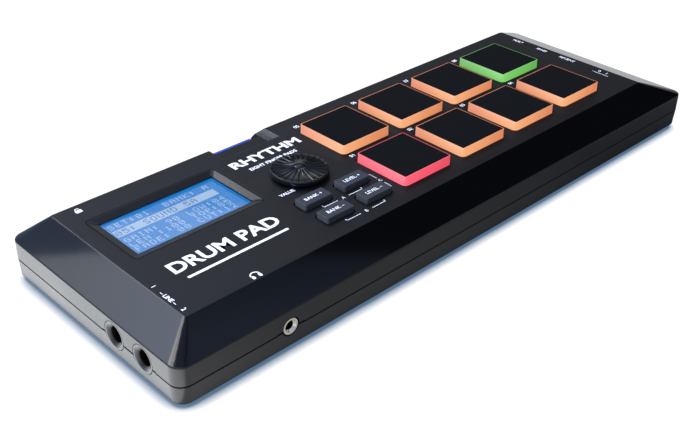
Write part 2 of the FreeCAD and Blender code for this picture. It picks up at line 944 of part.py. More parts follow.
def data_dial():
    """The flat dial: a dished disc with a low hub, radial grooves and a socket for the shaft."""
    radius = dial_diameter / 2
    side_top = dial_foot_z + dial_side_height
    hub_top = side_top + dial_hub_rise
    rim_x = radius - dial_rim_width
    rim_inner = V(rim_x, 0, side_top)
    dish_x = (rim_x + dial_hub_radius) / 2
    hub_edge = V(dial_hub_radius, 0, hub_top - dial_dish)
    dish_middle = V(dish_x, 0, side_top)
    dish = Part.Arc(rim_inner, dish_middle + V(0, 0, dial_dish_rise), hub_edge).toShape()
    hub = Part.Arc(hub_edge, V(dial_hub_radius / 2, 0, hub_top - dial_hub_crown), V(0, 0, hub_top)).toShape()
    points = [
        V(0, 0, hub_top),
        V(0, 0, dial_foot_z),
        V(radius - dial_rim_chamfer, 0, dial_foot_z),
        V(radius, 0, dial_foot_z + dial_rim_chamfer),
        V(radius, 0, side_top - dial_rim_chamfer),
        V(radius - dial_rim_chamfer, 0, side_top),
        rim_inner,
    ]
    edges = [Part.LineSegment(a, b).toShape() for a, b in zip(points, points[1:])]
    profile = Part.Face(Part.Wire(edges + [dish, hub]))
    disc = profile.revolve(V(0, 0, 0), V(0, 0, 1), 360)
    above = disc.copy()
    above.translate(V(0, 0, -dial_groove_depth))
    slabs = []
    for index in range(dial_grooves):
        slab = block(
            dial_hub_radius,
            rim_x,
            -dial_groove_width / 2,
            dial_groove_width / 2,
            side_top - dial_groove_depth,
            hub_top,
        )
        slab.rotate(V(0, 0, 0), V(0, 0, 1), index * 360 / dial_grooves)
        slabs.append(slab)
    grooves = Part.makeCompound(slabs).cut(above)
    disc = disc.cut(grooves)
    socket = rod(0, 0, encoder_shaft_radius + running_gap, 0, shaft_top + seat_gap)
    hollow = rod(0, 0, encoder_collar_radius + dial_hole_gap, 0, collar_top + dial_hole_gap)
    disc = disc.cut(socket).cut(hollow)
    disc.translate(V(controls_x, dial_y, 0))
    return disc


def encoder_body():
    """The rotary encoder: a square case with a round collar, bored for its shaft."""
    case = centred_block(controls_x, dial_y, encoder_size, encoder_size, board_top, encoder_top)
    collar = rod(controls_x, dial_y, encoder_collar_radius, encoder_top, collar_top)
    body = case.fuse(collar).removeSplitter()
    bore_bottom = board_top + encoder_floor
    return body.cut(rod(controls_x, dial_y, encoder_shaft_radius + running_gap, bore_bottom, collar_top))


def encoder_shaft():
    """The shaft that carries the dial."""
    return rod(controls_x, dial_y, encoder_shaft_radius, board_top + encoder_floor + running_gap, shaft_top)


def key_cap(x, y):
    """One rubber key, with the flange that keeps it under the top face."""
    cap = round_block(x, y, key_length, key_width, key_radius, key_bottom, key_top_z)
    cap = cap.makeFillet(key_edge_round, edges_at(cap, key_top_z))
    flange_length = key_length + 2 * key_flange
    flange_width = key_width + 2 * key_flange
    flange_z1 = key_bottom + key_flange_thickness
    flange = round_block(x, y, flange_length, flange_width, key_radius, key_bottom, flange_z1)
    return cap.fuse(flange).removeSplitter()


def key_plunger(x, y):
    """The round plunger of one key's switch."""
    return rod(x, y, plunger_radius, board_top + switch_floor + key_travel + plunger_gap / 2, key_bottom)


def key_switches():
    """The four switch cases, each bored for its plunger."""
    cases = []
    for x, y in key_places:
        case = centred_block(x, y, switch_size, switch_size, board_top, board_top + switch_height)
        bore = rod(x, y, plunger_radius + plunger_gap, board_top + switch_floor, board_top + switch_height)
        cases.append(case.cut(bore))
    return Part.makeCompound(cases)


def line_jack(y):
    """One line jack: a collar in the case's wall, a long body and a ledge on the board."""
    z = line_axis_z
    half = line_body_width / 2
    z0 = z - line_body_height / 2
    z1 = z + line_body_height / 2
    body = fused(
        [
            rod_x(y, z, line_collar_radius, left_end, line_body_start),
            block(line_body_start, line_body_end, y - half, y + half, z0, z1),
            block(line_body_end, line_ledge_end, y - half, y + half, low_board_top, z1),
        ]
    )
    mouth_end = left_end + line_mouth_depth
    mouth = Part.makeCone(
        line_mouth_radius,
        line_bore_radius,
        line_mouth_depth,
        V(left_end, y, z),
        V(1, 0, 0),
    )
    sleeve_radius = line_bore_radius + line_sleeve_wall
    body = body.cut(mouth)
    body = body.cut(rod_x(y, z, line_bore_radius, left_end, left_end + line_bore_depth))
    return body.cut(rod_x(y, z, sleeve_radius, mouth_end, mouth_end + line_sleeve_length))


def line_jack_sleeves():
    """The metal sleeve in each line jack, just behind its mouth."""
    x0 = left_end + line_mouth_depth
    x1 = x0 + line_sleeve_length
    sleeves = []
    for y in line_jack_places:
        sleeve = rod_x(y, line_axis_z, line_bore_radius + line_sleeve_wall, x0, x1)
        sleeves.append(sleeve.cut(rod_x(y, line_axis_z, line_bore_radius, x0, x1)))
    return Part.makeCompound(sleeves)


def phones_jack():
    """The headphone jack's body on the jack board."""
    y0 = front_side + phones_ring_sink + phones_ring_length
    y1 = y0 + mini_body_length
    body = centred_block(phones_x, (y0 + y1) / 2, mini_body_width, y1 - y0, low_board_top, mini_body_top)
    bore_end = front_side + phones_ring_sink + mini_bore_depth
    return body.cut(rod_y(phones_x, mini_axis_z, mini_bore_radius, y0, bore_end))


def phones_jack_ring():
    """The bright metal ring round the headphone jack's mouth."""
    y0 = front_side + phones_ring_sink
    y1 = y0 + phones_ring_length
    ring = rod_y(phones_x, mini_axis_z, phones_ring_radius, y0, y1)
    ring = ring.cut(rod_y(phones_x, mini_axis_z, mini_bore_radius, y0, y1))
    mouth = Part.makeCone(
        phones_ring_mouth,
        mini_bore_radius,
        phones_ring_mouth_depth,
        V(phones_x, y0, mini_axis_z),
        V(0, 1, 0),
    )
    return ring.cut(mouth)


def control_jack(y):
    """One small jack in the right end: a round nose in the wall and a body on the end board."""
    x1 = right_end - wall - wall_gap
    x0 = x1 - mini_body_length
    body = block(x0, x1, y - mini_body_width / 2, y + mini_body_width / 2, low_board_top, mini_body_top)
    body = body.fuse(rod_x(y, mini_axis_z, mini_nose_radius, x1, right_end)).removeSplitter()
    return body.cut(rod_x(y, mini_axis_z, mini_bore_radius, right_end - mini_bore_depth, right_end))


def data_port_shell():
    """The folded metal shell of the data port."""
    x1 = right_end - port_sink
    x0 = x1 - port_length
    half = port_width / 2
    z1 = low_board_top + port_height
    shell = block(x0, x1, port_y - half, port_y + half, low_board_top, z1)
    inside = half - port_sheet
    z0 = low_board_top + port_sheet
    return shell.cut(block(x0, x1, port_y - inside, port_y + inside, z0, z1 - port_sheet))


def data_port_tongue():
    """The plastic block at the back of the port, with its contact tongue."""
    x0 = right_end - port_sink - port_length
    inside = port_width / 2 - port_sheet
    z0 = low_board_top + port_sheet
    z1 = low_board_top + port_height - port_sheet
    back = block(x0, x0 + port_back_thickness, port_y - inside, port_y + inside, z0, z1)
    half = tongue_width / 2
    middle = (z0 + z1) / 2
    tongue = block(
        x0,
        x0 + port_back_thickness + tongue_length,
        port_y - half,
        port_y + half,
        middle - tongue_thickness / 2,
        middle + tongue_thickness / 2,
    )
    return back.fuse(tongue).removeSplitter()


def power_switch_body():
    """The slide switch's case on the end board, open towards the wall."""
    x1 = right_end - wall - power_body_gap
    x0 = x1 - power_body_depth
    middle = power_y + slider_travel / 2
    y0 = middle - power_body_length / 2
    z1 = low_board_top + power_body_height
    case = block(x0, x1, y0, y0 + power_body_length, low_board_top, z1)
    y0 = power_y - slider_length / 2 - slider_gap
    y1 = power_y + slider_length / 2 + slider_travel + slider_gap
    half = slider_height / 2 + seat_gap
    return case.cut(block(x0 + power_body_wall, x1, y0, y1, slider_z - half, slider_z + half))


def power_switch_slider():
    """The slider that a fingertip moves, shown at its ON end."""
    x0 = right_end - wall - power_body_gap - power_body_depth + power_body_wall + seat_gap
    half = slider_length / 2
    z0 = slider_z - slider_height / 2
    return block(x0, right_end - slider_sink, power_y - half, power_y + half, z0, z0 + slider_height)


def memory_card():
    """The memory card, pushed home under the recess, with its cut corner inside."""
    half = card_width / 2
    y0 = card_y1 - card_length
    points = [
        V(card_x - half, y0, card_z0),
        V(card_x + half - card_corner, y0, card_z0),
        V(card_x + half, y0 + card_corner, card_z0),
        V(card_x + half, card_y1, card_z0),
        V(card_x - half, card_y1, card_z0),
    ]
    return Part.Face(Part.makePolygon(points + points[:1])).extrude(V(0, 0, card_thickness))


def card_socket():
    """The metal socket round the card, on the main board."""
    half = card_width / 2 + card_gap
    outer = half + card_socket_side
    inside_y0 = card_y1 - card_length - card_gap
    y0 = inside_y0 - card_socket_side
    y1 = y0 + card_socket_length
    z0 = card_z0 - card_gap
    shell = block(card_x - outer, card_x + outer, y0, y1, board_top, card_socket_z1)
    return shell.cut(block(card_x - half, card_x + half, inside_y0, y1, z0, card_z1 + running_gap))


def ribbon_cables():
    """The flat cables between the boards, each with a plug block on both boards."""
    low_z = low_board_top + ribbon_block_height
    high_z = board_under - ribbon_block_height
    jack_x = jack_board_x1 - ribbon_width / 2 - board_gap
    jack_y = (jack_board_y1 + display_board_front) / 2
    jack_cable = fused(
        [
            centred_block(jack_x, jack_y, ribbon_width, ribbon_block, low_board_top, low_z),
            centred_block(jack_x, jack_y, ribbon_width, ribbon_thickness, low_z, high_z),
            centred_block(jack_x, jack_y, ribbon_width, ribbon_block, high_z, board_under),
        ]
    )
    end_x = (end_board_x0 + pad_board_right) / 2
    end_y = (first_pad_y + last_pad_y) / 2
    end_cable = fused(
        [
            centred_block(end_x, end_y, ribbon_block, ribbon_width, low_board_top, low_z),
            centred_block(end_x, end_y, ribbon_thickness, ribbon_width, low_z, high_z),
            centred_block(end_x, end_y, ribbon_block, ribbon_width, high_z, board_under),
        ]
    )
    x0 = main_board_right - ribbon_block
    x1 = pad_board_left + ribbon_block
    half = ribbon_width / 2
    link = [block(x0, x1, end_y - half, end_y + half, high_z - ribbon_thickness, high_z)]
    for x in (x0, x1):
        link.append(centred_block(x, end_y, ribbon_block, ribbon_width, high_z, board_under))
    return Part.makeCompound([jack_cable, end_cable, fused(link)])


def case_screws():
    """The screws that hold the two half shells together, heads below."""
    screws = []
    for x, y in case_screw_places:
        head = rod(x, y, case_screw_head_radius, case_head_bottom, case_head_top)
        socket = rod(x, y, driver_socket_radius, case_head_bottom, case_head_bottom + driver_socket_depth)
        shank = rod(x, y, case_screw_radius, case_head_top, case_screw_top)
        screws.append(head.fuse(shank).removeSplitter().cut(socket))
    return Part.makeCompound(screws)


def board_screws():
    """The short screws that hold the four boards: the high ones from below, the low ones from above."""
    screws = []
    for x, y in high_board_screws:
        head = rod(x, y, board_screw_head_radius, board_under - board_screw_head_height, board_under)
        shank = rod(x, y, board_screw_radius, board_under, board_top + board_screw_bite)
        screws.append(head.fuse(shank).removeSplitter())
    for x, y in low_board_screws:
        head = rod(x, y, board_screw_head_radius, low_board_top, low_board_top + board_screw_head_height)
        shank = rod(x, y, board_screw_radius, low_screw_end, low_board_top)
        screws.append(head.fuse(shank).removeSplitter())
    return Part.makeCompound(screws)


def rubber_feet():
    """The four round feet, seated in shallow hollows."""
    return Part.makeCompound([rod(x, y, foot_radius, 0, case_bottom + foot_sink) for x, y in foot_places])


def lock_plate():
    """The metal plate behind the lock slot in the rear wall."""
    x = left_end + lock_x_inset
    z = band_top - lock_below_band
    y1 = rear_side - wall
    y0 = y1 - lock_plate_thickness
    half = lock_plate_length / 2
    plate = block(x - half, x + half, y0, y1, z - lock_plate_height / 2, z + lock_plate_height / 2)
    slot = lock_slot_length / 2
    return plate.cut(block(x - slot, x + slot, y0, y1, z - lock_slot_height / 2, z + lock_slot_height / 2))


os.makedirs("parts", exist_ok=True)
save("upper_shell", upper_shell())
save("lower_shell", lower_shell())
save("display_bezel", display_bezel())
save("display_lens", display_lens())
save("lcd_panel", lcd_panel())
save("lcd_frame", lcd_frame())
for number, (x, y) in enumerate(pad_places, start=1):
    save("pad_skirt_%d" % number, pad_skirt(x, y))
    save("pad_top_%d" % number, pad_top(x, y))
save("pad_sensors", pad_sensors())
save("pad_leds", pad_leds())
save("main_board", main_board())
save("pad_board", pad_board())
save("jack_board", jack_board())
save("end_board", end_board())
save("board_chips", board_chips())
save("data_dial", data_dial())
save("encoder_shaft", encoder_shaft())
save("encoder_body", encoder_body())
for number, (x, y) in enumerate(key_places, start=1):
    save("key_cap_%d" % number, key_cap(x, y))
    save("key_plunger_%d" % number, key_plunger(x, y))
save("key_switches", key_switches())
for side, y in zip(("left", "right"), line_jack_places):
    save("line_jack_%s" % side, line_jack(y))
save("line_jack_sleeves", line_jack_sleeves())
save("phones_jack", phones_jack())
save("phones_jack_ring", phones_jack_ring())
save("control_jack_out", control_jack(control_out_y))
save("control_jack_in", control_jack(control_in_y))
save("data_port_shell", data_port_shell())
save("data_port_tongue", data_port_tongue())
save("power_switch_body", power_switch_body())
save("power_switch_slider", power_switch_slider())
save("memory_card", memory_card())
save("card_socket", card_socket())
save("ribbon_cables", ribbon_cables())
save("case_screws", case_screws())
save("board_screws", board_screws())
save("rubber_feet", rubber_feet())
save("lock_plate", lock_plate())
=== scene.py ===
import math

import bmesh
import bpy
from bpy.props import FloatProperty, FloatVectorProperty, IntProperty, PointerProperty
from mathutils import Euler, Matrix, Vector


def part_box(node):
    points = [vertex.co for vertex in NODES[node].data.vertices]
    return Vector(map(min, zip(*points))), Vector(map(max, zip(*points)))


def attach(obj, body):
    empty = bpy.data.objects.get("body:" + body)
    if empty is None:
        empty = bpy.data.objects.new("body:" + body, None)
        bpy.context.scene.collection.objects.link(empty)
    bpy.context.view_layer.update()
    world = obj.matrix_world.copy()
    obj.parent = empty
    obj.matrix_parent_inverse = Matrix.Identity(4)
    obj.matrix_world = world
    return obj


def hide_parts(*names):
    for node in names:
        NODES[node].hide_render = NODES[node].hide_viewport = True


bl_info = {
    "name": "Sampling drum pad",
    "version": (1, 0, 0),
    "blender": (4, 5, 0),
    "location": "View3D > Sidebar > Drum Pad",
    "description": "Finishes and details of a flat eight-pad sampling drum pad",
    "category": "Object",
}

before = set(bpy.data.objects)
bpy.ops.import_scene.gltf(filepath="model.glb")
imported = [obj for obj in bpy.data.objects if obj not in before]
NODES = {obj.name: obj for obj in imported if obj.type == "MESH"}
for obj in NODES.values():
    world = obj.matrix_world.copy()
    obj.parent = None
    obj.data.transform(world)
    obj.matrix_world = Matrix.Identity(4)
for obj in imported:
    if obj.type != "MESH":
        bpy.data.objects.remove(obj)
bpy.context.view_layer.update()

MM = 0.001
PAD_COUNT = 8

# How finely shapes and letters are cut into faces
SHARP_ANGLE = math.radians(32)
CORNER_STEPS = 8
SMALL_CORNER_STEPS = 4
ARC_STEPS = 14
WORD_DETAIL = 3
DIAL_SIDES = 96
RIB_STEPS = 14
RIB_SIDES = 8

# Thickness of printed ink
INK_LIFT = 0.012 * MM

# Nearly all that a noise gives lies between these two
NOISE_LOW = 0.3
NOISE_HIGH = 0.7

# Length over which the colour of a moulding slowly changes
WIDE_DRIFT = 18 * MM

# Dot letters: seven rows of five dots, each row as one number
DOTS_WIDE = 5
DOTS_HIGH = 7
DOT_LETTERS = {
    "0": (14, 17, 19, 21, 25, 17, 14),
    "1": (4, 12, 4, 4, 4, 4, 14),
    "2": (14, 17, 1, 2, 4, 8, 31),
    "4": (2, 6, 10, 18, 31, 2, 2),
    "5": (31, 16, 30, 1, 1, 17, 14),
    "8": (14, 17, 17, 14, 17, 17, 14),
    "9": (14, 17, 17, 15, 1, 2, 12),
    ":": (0, 12, 12, 0, 12, 12, 0),
    "A": (14, 17, 17, 31, 17, 17, 17),
    "B": (30, 17, 17, 30, 17, 17, 30),
    "C": (14, 17, 16, 16, 16, 17, 14),
    "D": (30, 17, 17, 17, 17, 17, 30),
    "E": (31, 16, 16, 30, 16, 16, 31),
    "F": (31, 16, 16, 30, 16, 16, 16),
    "G": (14, 17, 16, 23, 17, 17, 15),
    "I": (14, 4, 4, 4, 4, 4, 14),
    "K": (17, 18, 20, 24, 20, 18, 17),
    "L": (16, 16, 16, 16, 16, 16, 31),
    "N": (17, 25, 21, 19, 17, 17, 17),
    "O": (14, 17, 17, 17, 17, 17, 14),
    "P": (30, 17, 17, 30, 16, 16, 16),
    "S": (15, 16, 16, 14, 1, 1, 30),
    "T": (31, 4, 4, 4, 4, 4, 4),
    "U": (17, 17, 17, 17, 17, 17, 14),
    "W": (17, 17, 17, 21, 21, 27, 17),
}

# Heights that everything else follows. The band's top is no side of a box, so it is given.
TOP_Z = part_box("upper_shell")[1].z
BAND_TOP = 18.5 * MM
PARTING_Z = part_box("upper_shell")[0].z
GLASS_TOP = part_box("lcd_panel")[1].z


def middle(node):
    """The middle of a node's box."""
    low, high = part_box(node)
    return (low + high) / 2


def size_of(node):
    """The lengths of a node's box."""
    low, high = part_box(node)
    return high - low


def from_hex(code):
    """The linear colour of an sRGB hex value."""
    channels = [int(code[start:start + 2], 16) / 255 for start in (1, 3, 5)]
    return tuple(c / 12.92 if c <= 0.04045 else ((c + 0.055) / 1.055) ** 2.4 for c in channels)


# Nodes and materials

# Values that the trees derive, by name: kind of node, settings, inputs in order and output.
# Any other name is an operation of the Math node.
SPREAD_INPUTS = ("Value", "From Min", "From Max", "To Min", "To Max")
DERIVED = {
    "SPREAD": ("ShaderNodeMapRange", {}, SPREAD_INPUTS, "Result"),
    "BLEND": ("ShaderNodeMix", {"data_type": "RGBA"}, (0, 6, 7), 2),
    "CAPPED_SUM": ("ShaderNodeMath", {"operation": "ADD", "use_clamp": True}, (0, 1), 0),
}


def add_node(tree, kind, settings=None, inputs=None):
    """Adds one node with its settings. An input is a value, or the socket that feeds it."""
    node = tree.nodes.new(kind)
    for name, value in (settings or {}).items():
        setattr(node, name, value)
    for name, value in (inputs or {}).items():
        socket = node.inputs[name]
        if isinstance(value, bpy.types.NodeSocket):
            tree.links.new(value, socket)
        elif socket.type == "RGBA":
            socket.default_value = (*value[:3], 1.0)
        else:
            socket.default_value = value
    return node


def derive(tree, name, *inputs):
    """A value worked out from others. Inputs that one node can't take go to a next one like it."""
    math_node = ("ShaderNodeMath", {"operation": name}, (0, 1), 0)
    kind, settings, order, output = DERIVED.get(name, math_node)
    made = add_node(tree, kind, settings, dict(zip(order, inputs))).outputs[output]
    rest = inputs[len(order):]
    return derive(tree, name, made, *rest) if rest else made


def empty_tree(owner):
    """The node tree of a material or a world, with nothing in it yet."""
    owner.use_nodes = True
    owner.node_tree.nodes.clear()
    return owner.node_tree


def new_material(name):
    """A material and its empty tree."""
    material = bpy.data.materials.new(name)
    return material, empty_tree(material)


def close_material(material, inputs):
    """The material, with one shader at the end of its tree that has these inputs."""
    shader = add_node(material.node_tree, "ShaderNodeBsdfPrincipled", inputs=inputs)
    inputs = {"Surface": shader.outputs["BSDF"]}
    add_node(material.node_tree, "ShaderNodeOutputMaterial", inputs=inputs)
    return material


def object_place(tree):
    """Where a point lies in the object's own space, in metres."""
    return add_node(tree, "ShaderNodeTexCoord").outputs["Object"]


def object_axis(tree, axis):
    """That place along one axis."""
    return add_node(tree, "ShaderNodeSeparateXYZ", inputs={"Vector": object_place(tree)}).outputs[axis]


def object_noise(tree, size, detail=2.0):
    """Noise in the object's own space, with features of that size in metres."""
    inputs = {"Vector": object_place(tree), "Scale": 1 / size, "Detail": detail, "Roughness": 0.55}
    return add_node(tree, "ShaderNodeTexNoise", inputs=inputs).outputs["Fac"]


def drift(tree, noise, low, high):
    """A noise spread between two numbers."""
    return derive(tree, "SPREAD", noise, NOISE_LOW, NOISE_HIGH, low, high)


def scaled(colour, share):
    """A colour made lighter or darker."""
    return tuple(channel * share for channel in colour)


def relief(tree, height, depth, under=None):
    """A normal that follows a height, with that depth in metres, on top of another normal."""
    inputs = {"Strength": 1.0, "Distance": depth, "Height": height}
    if under:
        inputs["Normal"] = under
    return add_node(tree, "ShaderNodeBump", inputs=inputs).outputs["Normal"]


def moulded(name, colour, second, roughness, grain, depth, ior=1.5, shine=0.5):
    """A moulded plastic or rubber: a colour that drifts, a roughness that varies and a fine grain."""
    material, tree = new_material(name)
    wide = object_noise(tree, WIDE_DRIFT)
    inputs = {
        "Base Color": derive(tree, "BLEND", wide, from_hex(colour), from_hex(second)),
        "Roughness": drift(tree, wide, roughness * 0.9, roughness * 1.1),
        "IOR": ior,
        "Specular IOR Level": shine,
        "Normal": relief(tree, object_noise(tree, grain, 3.0), depth),
    }
    return close_material(material, inputs)


def recess_share(tree, height):
    """One inside the card recess, whose faces are grained like the top face, and nothing outside."""
    margin = 5.2 * MM
    front = 36 * MM
    floor = BAND_TOP + 0.6 * MM
    beside = derive(tree, "SUBTRACT", object_axis(tree, "X"), middle("memory_card").x)
    reach = size_of("memory_card").x / 2 + margin
    return derive(
        tree,
        "MULTIPLY",
        derive(tree, "LESS_THAN", derive(tree, "ABSOLUTE", beside), reach),
        derive(tree, "GREATER_THAN", object_axis(tree, "Y"), front),
        derive(tree, "GREATER_THAN", height, floor),
    )


def case_plastic(colours):
    """The case: a spark-grained top face, polished bevels and satin sides, told apart by height, and a
    painted shadow along the parting line.
    """
    material, tree = new_material("moulded_black_abs")
    wide = object_noise(tree, WIDE_DRIFT)
    height = object_axis(tree, "Z")
    polish, black, painted_seam_shade = colours.bevel_roughness, colours.case_black, colours.seam_shade_width
    # The top's finish starts a hair's breadth below its face, and the sides' ends at the band's top
    top = derive(tree, "SPREAD", height, TOP_Z - 0.06 * MM, TOP_Z - 0.02 * MM, 0.0, 1.0)
    top = derive(tree, "MAXIMUM", top, recess_share(tree, height))
    on_top = derive(tree, "SPREAD", top, 0.0, 1.0, polish, colours.top_roughness)
    side_end = BAND_TOP - 0.3 * MM
    on_side = derive(tree, "SPREAD", height, side_end, BAND_TOP, colours.side_roughness, polish)
    rough = derive(tree, "MAXIMUM", on_top, on_side)
    # A spark grain is about 0.1 mm. It is drawn at 0.45 mm, since a finer one doesn't show.
    grain = derive(tree, "MULTIPLY", object_noise(tree, 0.45 * MM, 3.0), top)
    soft = add_node(tree, "ShaderNodeBevel", {"samples": 6}, {"Radius": colours.edge_round})
    off_line = derive(tree, "ABSOLUTE", derive(tree, "SUBTRACT", height, PARTING_Z))
    inputs = {
        "Base Color": derive(tree, "BLEND", wide, black, scaled(black, 1.25)),
        "Roughness": derive(tree, "MULTIPLY", rough, drift(tree, wide, 0.92, 1.08)),
        "IOR": 1.5,
        # Painted shade: no shine along the parting line, so that it shows as a dark line
        "Specular IOR Level": derive(tree, "SPREAD", off_line, painted_seam_shade / 2, painted_seam_shade, 0.0, 0.5),
        "Normal": relief(tree, grain, 0.012 * MM, soft.outputs["Normal"]),
    }
    return close_material(material, inputs)


def shaded_mouth_nylon():
    """Glass-filled nylon that is satin on its outer face, with painted shade that takes its shine away down
    the mouth.
    """
    material, tree = new_material("line_jack_nylon_shaded_mouth")
    fibres = object_noise(tree, 0.8 * MM)
    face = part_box("line_jack_left")[0].x
    start, end = face + 0.1 * MM, face + 0.9 * MM
    inputs = {
        "Base Color": derive(tree, "BLEND", fibres, from_hex("#08080A"), from_hex("#0C0C0E")),
        "Roughness": 0.3,
        "IOR": 1.5,
        # Painted shade: less shine the deeper into the mouth
        "Specular IOR Level": derive(tree, "SPREAD", object_axis(tree, "X"), start, end, 0.5, 0.1),
        "Normal": relief(tree, fibres, 0.004 * MM),
    }
    return close_material(material, inputs)


def plated(name, colour, roughness, grain):
    """A plated metal: one colour, a roughness that varies with the turning or rolling marks."""
    material, tree = new_material(name)
    marks = object_noise(tree, grain, 4.0)
    inputs = {
        "Base Color": from_hex(colour),
        "Metallic": 1.0,
        "Roughness": drift(tree, marks, roughness * 0.75, roughness * 1.25),
        "Normal": relief(tree, marks, 0.004 * MM),
    }
    return close_material(material, inputs)


def clear_acrylic():
    """Extruded acrylic sheet, polished: clear, with a faint wave in its surface."""
    material, tree = new_material("polished_clear_acrylic")
    inputs = {
        "Base Color": from_hex("#F4F7FA"),
        "Transmission Weight": 1.0,
        "IOR": 1.49,
        "Specular IOR Level": 0.36,
        "Roughness": 0.015,
        "Normal": relief(tree, object_noise(tree, 14 * MM, 1.0), 0.006 * MM),
    }
    return close_material(material, inputs)


def lit_silicone(name, bright, deep, colours):
    """Translucent silicone lit from inside, with painted light: brightest at the pad's front left corner,
    deeper further off.
    """
    material, tree = new_material(name)
    # Painted light: the distance from the pad's front left corner, where its glow is made brightest
    lamp = add_node(tree, "ShaderNodeAttribute", {"attribute_name": "painted_corner_distance"})
    cloud = drift(tree, object_noise(tree, 5 * MM), -0.05, 0.05)
    from_painted_corner = derive(tree, "CAPPED_SUM", lamp.outputs["Fac"], cloud)
    milk, full = colours.pad_milk, colours.pad_strength
    # The camera sees the full light, and the pieces around get their share of it
    seen = add_node(tree, "ShaderNodeLightPath").outputs["Is Camera Ray"]
    inputs = {
        "Base Color": derive(tree, "BLEND", from_painted_corner, scaled(milk, 1.3), milk),
        "Roughness": 0.42,
        "IOR": 1.41,
        "Emission Color": derive(tree, "BLEND", from_painted_corner, bright, deep),
        "Emission Strength": derive(tree, "SPREAD", seen, 0.0, 1.0, full * colours.pad_spill, full),
        "Normal": relief(tree, object_noise(tree, 0.5 * MM), 0.006 * MM),
    }
    close_material(material, inputs)
    # What can't follow the link reads this strength
    tree.nodes["Principled BSDF"].inputs["Emission Strength"].default_value = full
    return material


def backlit_glass(colours):
    """A back-lit liquid crystal glass: an even blue, with a painted reflection that makes it a little paler
    towards its front left corner.
    """
    material, tree = new_material("backlit_crystal_glass")
    low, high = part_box("lcd_panel")
    across = derive(tree, "SPREAD", object_axis(tree, "X"), low.x, high.x, 0.5, -0.1)
    down = derive(tree, "SPREAD", object_axis(tree, "Y"), low.y, high.y, 0.3, -0.1)
    # Painted reflection: the share of the paler blue, most at the front left corner
    both = derive(tree, "CAPPED_SUM", across, down)
    inputs = {
        "Base Color": derive(tree, "BLEND", both, from_hex("#061420"), from_hex("#0A1C2C")),
        "Roughness": 0.6,
        "Specular IOR Level": 0.15,
        "Emission Color": derive(tree, "BLEND", both, colours.screen_blue, colours.screen_painted_reflection),
        "Emission Strength": colours.screen_strength,
    }
    return close_material(material, inputs)


def crystal_mark(name, colour, strength):
    """Liquid crystal segments that let the lamp through or hold it back."""
    material, tree = new_material(name)
    dots = drift(tree, object_noise(tree, 0.4 * MM), 0.0, 1.0)
    inputs = {
        "Base Color": derive(tree, "BLEND", dots, from_hex("#0A1624"), from_hex("#122234")),
        "Roughness": 0.6,
        "Specular IOR Level": 0.15,
        "Emission Color": derive(tree, "BLEND", dots, scaled(colour, 0.86), colour),
        "Emission Strength": strength,
    }
    return close_material(material, inputs)


def green_laminate():
    """Woven glass laminate under a green solder mask: a fine weave and darker copper lands."""
    material, tree = new_material("masked_glass_laminate")
    inputs = {"Vector": object_place(tree), "Scale": 1 / (0.9 * MM)}
    weave = add_node(tree, "ShaderNodeTexChecker", inputs=inputs).outputs["Fac"]
    lands = object_noise(tree, 6 * MM, 1.0)
    inputs = {
        "Base Color": derive(tree, "BLEND", lands, from_hex("#0E3B22"), from_hex("#1C5A35")),
        "Roughness": 0.38,
        "IOR": 1.5,
        "Normal": relief(tree, weave, 0.01 * MM),
    }
    return close_material(material, inputs)


def printed_ink(colours):
    """Two-part pad printing ink: flat white, a little uneven where the stamp lifted."""
    material, tree = new_material("white_printing_ink")
    uneven = object_noise(tree, 1.2 * MM)
    inputs = {
        "Base Color": derive(tree, "BLEND", uneven, scaled(colours.ink, 0.96), colours.ink),
        "Roughness": 0.5,
        "IOR": 1.45,
    }
    return close_material(material, inputs)


